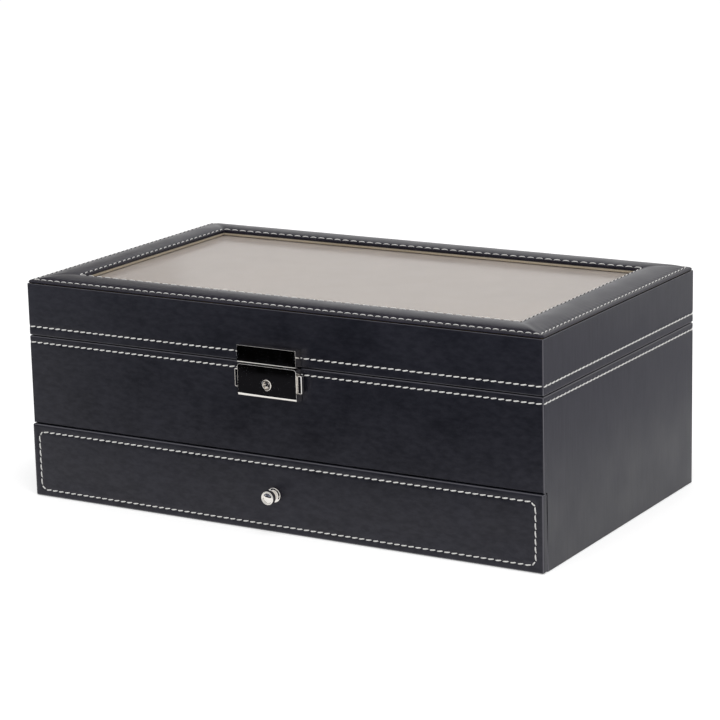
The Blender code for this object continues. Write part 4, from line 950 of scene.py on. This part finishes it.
def filled(mesh):
    """The mesh remeshed evenly and blown up by cloth pressure, up to PILLOW_SWELL."""
    item = new_object("filling", mesh)
    even = item.modifiers.new("even", "REMESH")
    even.mode = "VOXEL"
    even.voxel_size = PILLOW_CELL
    apply_modifiers(item)
    start = [vert.co.copy() for vert in item.data.vertices]
    cloth = item.modifiers.new("cloth", "CLOTH")
    cloth.settings.use_pressure = True
    cloth.settings.uniform_pressure_force = PILLOW_PRESSURE
    cloth.settings.effector_weights.gravity = 0
    for number in range(1, PILLOW_FRAMES + 1):
        bpy.context.scene.frame_set(number)
    apply_modifiers(item)
    bpy.context.scene.frame_set(1)
    for vert, place in zip(item.data.vertices, start):
        move = vert.co - place
        if move.length > PILLOW_SWELL:
            vert.co = place + move.normalized() * PILLOW_SWELL
    smooth = item.modifiers.new("smooth", "SUBSURF")
    smooth.levels = 1
    apply_modifiers(item)
    done = item.data
    bpy.data.objects.remove(item)
    return done


def fitted(mesh, low, high):
    """Scales a mesh so that it fills a box about its own middle."""
    points = [vert.co for vert in mesh.vertices]
    for axis in range(3):
        bottom = min(point[axis] for point in points)
        top = max(point[axis] for point in points)
        scale = (high[axis] - low[axis]) / (top - bottom)
        for point in points:
            point[axis] = (point[axis] - (bottom + top) / 2) * scale


def pillow(low, high):
    size = high - low
    made = bmesh.new()
    bmesh.ops.create_cube(made, size=1)
    bmesh.ops.scale(made, vec=[value - 2 * PILLOW_INSET for value in size], verts=made.verts)
    bevel(made, made.edges[:], PILLOW_CORNER)
    mesh = filled(plain_mesh(made, "block"))
    fitted(mesh, low, high)
    seam = size.y / 2 - PILLOW_SEAM
    for vert in mesh.vertices:
        away = (abs(vert.co.y) - seam) / PILLOW_SEAM_WIDTH
        inward = Vector((vert.co.x / size.x, 0, vert.co.z / size.z)).normalized()
        vert.co -= inward * PILLOW_SEAM_DEPTH * math.exp(-away * away)
    return mesh


def cushions():
    low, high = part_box(CUSHION_NODES[0])
    shape = pillow(low, high)
    scale = PILLOW_WRINKLE_SCALE
    for number, node in enumerate(CUSHION_NODES):
        low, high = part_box(node)
        middle = (low + high) / 2
        turn = Vector((-1, -1, 1)) if number % 2 else Vector((1, 1, 1))
        mesh = shape.copy()
        for vert in mesh.vertices:
            place = vert.co * turn
            spot = Vector((place.x * scale, place.y * scale, place.z * scale + 9 * number))
            wrinkle = 0.5 + 0.5 * noise.noise(spot)
            vert.co = middle + (place - place.normalized() * PILLOW_WRINKLE * wrinkle)
        mesh.shade_smooth()
        item = add_piece(f"{node}_pillow", mesh, PILLOW, "base", "cushion", node)


# Ring pad: soft rolls side by side, with slits between them
ROLL_COUNT = 8
ROLL_SLIT = 1.2 * MM
ROLL_SLIT_DEPTH = 10.0 * MM
ROLL_RISE = 4.6 * MM
ROLL_ARC_STEPS = 12
ROLL_LENGTH_STEPS = 44
ROLL_END = 3.5 * MM
ROLL_END_DROP = 0.35  # how much of it the height falls
ROLL_ROUND = 0.8  # below 1 the rolls are fuller than a half circle
ROLL_WAVE = 0.30 * MM
ROLL_WAVE_SCALES = (5.3, 45, 0.35)  # a roll, a metre along it, a step round it


def roll_outline(width, height, y):
    """Points across the pad, from its left foot over the rolls to its right foot."""
    pitch = width / ROLL_COUNT
    half = pitch / 2 - ROLL_SLIT / 2
    shoulder = height - ROLL_RISE
    points = [(0, 0)]
    for number in range(ROLL_COUNT):
        middle = pitch * (number + 0.5)
        foot = height - ROLL_SLIT_DEPTH
        if number:
            points.append((middle - half, foot))
        for step in range(ROLL_ARC_STEPS + 1):
            angle = math.pi * step / ROLL_ARC_STEPS
            spot = Vector((number, y, step)) * Vector(ROLL_WAVE_SCALES)
            wave = ROLL_WAVE * (noise.noise(spot) - 0.5)
            rise = (ROLL_RISE + wave) * math.sin(angle) ** ROLL_ROUND
            points.append((middle - half * math.cos(angle), shoulder + rise))
        if number < ROLL_COUNT - 1:
            points.append((middle + half, foot))
    points.append((width, 0))
    return points


def ring_pad():
    low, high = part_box("ring_pad")
    size = high - low
    made = bmesh.new()
    rows = []
    for step in range(ROLL_LENGTH_STEPS + 1):
        share = 0.5 - 0.5 * math.cos(math.pi * step / ROLL_LENGTH_STEPS)
        y = low.y + size.y * share
        from_end = min(y - low.y, high.y - y)
        ease = math.sqrt(max(0.0, 1 - (1 - min(from_end / ROLL_END, 1)) ** 2))
        height = size.z - ROLL_END_DROP * ROLL_END * (1 - ease)
        rows.append([
            made.verts.new((low.x + x, y, low.z + z)) for x, z in roll_outline(size.x, height, y)
        ])
    join_rings(made, rows)
    made.faces.new(rows[0])
    made.faces.new(rows[-1][::-1])
    item = add_piece(
        "ring_rolls", mesh_of(made, "ring_rolls", 60), PILLOW, "drawer", "cushion", "ring_pad",
    )


# Hinges: screws with a cross recess, three to a leaf
SCREW_RADIUS = 1.7 * MM
SCREW_RISE = 0.55 * MM
SCREW_SPACING = 9.5 * MM
SCREW_INSET = 3.6 * MM  # from the leaf's free edge
SCREW_RING_SHARES = (1.0, 0.97, 0.85, 0.7, 0.62, 0.5, 0.35, 0.2, 0.1)
LEAF_PLATE_Y = 96.1 * MM  # back face of the hinge plates
RECESS_LENGTH = 1.0 * MM
RECESS_WIDTH = 0.32 * MM
RECESS_DEPTH = 0.4 * MM
SCREW_STEPS = 32


def add_screw(made, place):
    """A domed head on a face that looks back along +Y, with a cross sunk into it."""
    rings = []
    for share in SCREW_RING_SHARES:
        ring = []
        for x, z in circle(SCREW_STEPS):
            across, up = SCREW_RADIUS * share * x, SCREW_RADIUS * share * z
            rise = SCREW_RISE * math.sqrt(1 - share * share) if share < 1 else 0
            near, far = sorted((abs(across), abs(up)))
            if near < RECESS_WIDTH and far < RECESS_LENGTH:
                rise -= RECESS_DEPTH
            ring.append(made.verts.new(place + Vector((across, rise, up))))
        rings.append(ring)
    middle = made.verts.new(place + Vector((0, SCREW_RISE - RECESS_DEPTH, 0)))
    join_rings(made, rings)
    for i in range(SCREW_STEPS):
        made.faces.new((rings[-1][i], rings[-1][(i + 1) % SCREW_STEPS], middle))
    made.faces.new(rings[0][::-1])


def hinge_screws():
    for leaf, body in (("hinge_base_leaf", "base"), ("hinge_lid_leaf", "lid")):
        made = bmesh.new()
        for side in ("left", "right"):
            low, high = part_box(f"{side}_{leaf}")
            x = (low.x + high.x) / 2
            z = low.z + SCREW_INSET if body == "base" else high.z - SCREW_INSET
            for step in (-1, 0, 1):
                add_screw(made, Vector((x + step * SCREW_SPACING, LEAF_PLATE_Y, z)))
        name = f"{leaf}_screws"
        add_piece(name, mesh_of(made, name, 35), CHROME, body, "chrome")


# The pieces
LINER_SOFT = 0.35 * MM
BOARD_SOFT = 0.5 * MM
LOCK_RIM = 0.45 * MM
HASP_RIM = 0.40 * MM

for node, slot_name in SLOTS.items():
    paint(frame["nodes"][node].data, LOOKS[slot_name])
stitched_walls("case_skin", "case_leather", "base", CASE_STITCH_Z)
stitched_walls("lid_skin", "lid_leather", "lid", LID_STITCH_Z)
belt_of_stitches("case_stitches", "base", CASE_STITCH_Z, 11)
belt_of_stitches("lid_stitches", "lid", LID_STITCH_Z, 12)
drawer_front()
drawer_stitches()
padded_cap()
cap_stitches(
    "cap_outer_stitches", CAP_OUTER_STITCH, CAP_OUTER_STITCH,
    CAP_OUTER_SEAT + CAP_STITCH_RISES[0], CAP_OUTER_PITCHES, 14,
)
cap_stitches(
    "cap_inner_stitches", CAP_SEAM_SIDE, CAP_SEAM_FRONT,
    CAP_INNER_SEAT + CAP_STITCH_RISES[1], CAP_INNER_PITCHES, 15,
)
softened("window_liner", "lid", LINER_SOFT)
knob()
metal_copy("lock_case", "base", LOCK_RIM)
metal_copy("hasp", "lid", HASP_RIM)
metal_copy("left_release", "left_release_button")
metal_copy("right_release", "right_release_button")
metal_copy("key_barrel", "key_barrel")
for side in ("left", "right"):
    metal_copy(f"{side}_hinge_base_leaf", "base")
    metal_copy(f"{side}_hinge_lid_leaf", "lid")
    metal_copy(f"{side}_hinge_pin", "base")
hinge_screws()
cushions()
ring_pad()
for node in ("long_divider", *(f"cross_divider_{number}" for number in range(1, 6))):
    softened(node, "base", BOARD_SOFT)
for part in ("left_side", "right_side", "back", "inner_front", "divider"):
    softened(f"drawer_{part}", "drawer", BOARD_SOFT)


# Camera
def set_camera():
    azimuth, elevation, roll = (math.radians(value) for value in CAMERA_ANGLES)
    back = Vector((
        math.sin(azimuth) * math.cos(elevation), -math.cos(azimuth) * math.cos(elevation),
        math.sin(elevation),
    ))
    level = UP.cross(back).normalized()
    upright = back.cross(level)
    across = math.cos(roll) * level + math.sin(roll) * upright
    up = math.cos(roll) * upright - math.sin(roll) * level
    data = bpy.data.cameras.new("photo_camera")
    data.lens = CAMERA_LENS
    data.sensor_width = CAMERA_SENSOR
    data.clip_start, data.clip_end = CAMERA_CLIP
    item = new_object("photo_camera", data)
    turn = Matrix((across, up, back)).transposed().to_4x4()
    item.matrix_world = Matrix.Translation(CAMERA_PLACE) @ turn
    bpy.context.scene.camera = item


# Light: a pale floor and a white surround, with cards that only reflections see
WHITE = (1, 1, 1, 1)
WORLD_LEVEL = 0.72
FLOOR_HALF = 6.0
FLOOR_COLOUR = (0.80, 0.80, 0.80, 1)
FLOOR_GLOW = 0.42
LAMP_PLACE = (0.5, -0.6, 1.8)
LAMP_TARGET = (0, 0, 0.1)
LAMP_SIZE = 1.2
LAMP_POWER = 14
CARD_FAR_Y = -2.2
FLAT_CARDS = {  # colour, height, corners
    "near_card": (
        (0.010, 0.010, 0.012), 0.002,
        ((-0.22, -0.20), (0.12, -0.20), (0.14, -0.45), (-0.38, -0.45)),
    ),
    "hasp_card": (
        (0.001, 0.001, 0.001), 0.003,
        ((-0.31, -0.40), (-0.10, -0.40), (-0.18, -0.66), (-0.44, -0.66)),
    ),
    "far_card": (
        (0.32, 0.36, 0.48), 0.002,
        ((-0.42, -0.45), (0.14, -0.45), (0.25, CARD_FAR_Y), (-1.45, CARD_FAR_Y)),
    ),
    "left_card": (
        (0.78, 0.84, 1.00), 0.002,
        ((-0.90, -0.45), (-0.42, -0.45), (-1.45, CARD_FAR_Y), (-3.0, CARD_FAR_Y)),
    ),
    "right_card": (
        (0.46, 0.45, 0.54), 0.002, ((0.24, 0.06), (0.90, 0.06), (0.90, 0.52), (0.24, 0.52)),
    ),
    "ceiling_card": (
        (0.03, 0.03, 0.04), 1.6, ((-3.0, 0.15), (0.8, 0.15), (0.8, 1.15), (-3.0, 1.15)),
    ),
}
UPRIGHT_CARDS = {  # colour, place in y, corners
    "back_card": (
        (0.62, 0.61, 0.60), 0.50, ((-2.2, 0.16), (-0.50, 0.16), (-0.38, 0.60), (-2.2, 0.60)),
    ),
    "upright_card": (
        (0.16, 0.17, 0.22), CARD_FAR_Y, ((-3.0, 0), (0.25, 0), (0.25, 1.0), (-3.0, 1.0)),
    ),
}


def seen_directly(tree):
    """1 for camera, glossy and transmission rays."""
    rays = node_of(tree, "LightPath", {}).outputs
    total = calc(tree, "MAXIMUM", rays["Is Camera Ray"], rays["Is Glossy Ray"])
    return calc(tree, "MAXIMUM", total, rays["Is Transmission Ray"])


def set_world():
    world = bpy.data.worlds.new("studio")
    world.use_nodes = True
    bpy.context.scene.world = world
    tree = world.node_tree
    strength = ramp(tree, seen_directly(tree), WORLD_LEVEL, 1, 0, 1)
    feed(tree, tree.nodes["Background"], {"Color": WHITE, "Strength": strength})


def flat_plane(name, corners, material):
    made = bmesh.new()
    made.faces.new([made.verts.new(corner) for corner in corners])
    mesh = plain_mesh(made, name)
    paint(mesh, material)
    item = new_object(name, mesh)
    return item


def matt_material(name, colour):
    made, tree, shader = shader_of(name)
    feed(tree, shader, {"Base Color": colour, "Roughness": 1, "Specular IOR Level": 0})
    return made, tree, shader


def set_floor():
    made, tree, shader = matt_material("pale_floor", FLOOR_COLOUR)
    strength = calc(tree, "MULTIPLY", seen_directly(tree), FLOOR_GLOW)
    glow = node_of(tree, "Emission", {"Color": WHITE, "Strength": strength})
    both = node_of(tree, "AddShader", {0: shader.outputs[0], 1: glow.outputs[0]})
    feed(tree, tree.nodes["Material Output"], {"Surface": both.outputs[0]})
    far = FLOOR_HALF
    flat_plane("floor", ((-far, -far, 0), (far, -far, 0), (far, far, 0), (-far, far, 0)), made)


def set_card(name, colour, corners):
    item = flat_plane(name, corners, matt_material(f"{name}_colour", (*colour, 1))[0])
    for ray in ("camera", "diffuse", "shadow", "transmission"):
        setattr(item, f"visible_{ray}", False)


def set_cards():
    for name, (colour, height, corners) in FLAT_CARDS.items():
        set_card(name, colour, [(x, y, height) for x, y in corners])
    for name, (colour, depth, corners) in UPRIGHT_CARDS.items():
        set_card(name, colour, [(x, depth, z) for x, z in corners])


def set_lamp():
    data = bpy.data.lights.new("top_lamp", "AREA")
    data.shape = "SQUARE"
    data.size = LAMP_SIZE
    data.energy = LAMP_POWER
    item = new_object("top_lamp", data)
    item.location = LAMP_PLACE
    item.rotation_mode = "QUATERNION"
    aim = Vector(LAMP_TARGET) - Vector(LAMP_PLACE)
    item.rotation_quaternion = aim.to_track_quat("-Z", "Y")
    item.visible_glossy = False


set_camera()
set_world()
set_floor()
set_cards()
set_lamp()
bpy.context.scene.view_settings.view_transform = "Standard"
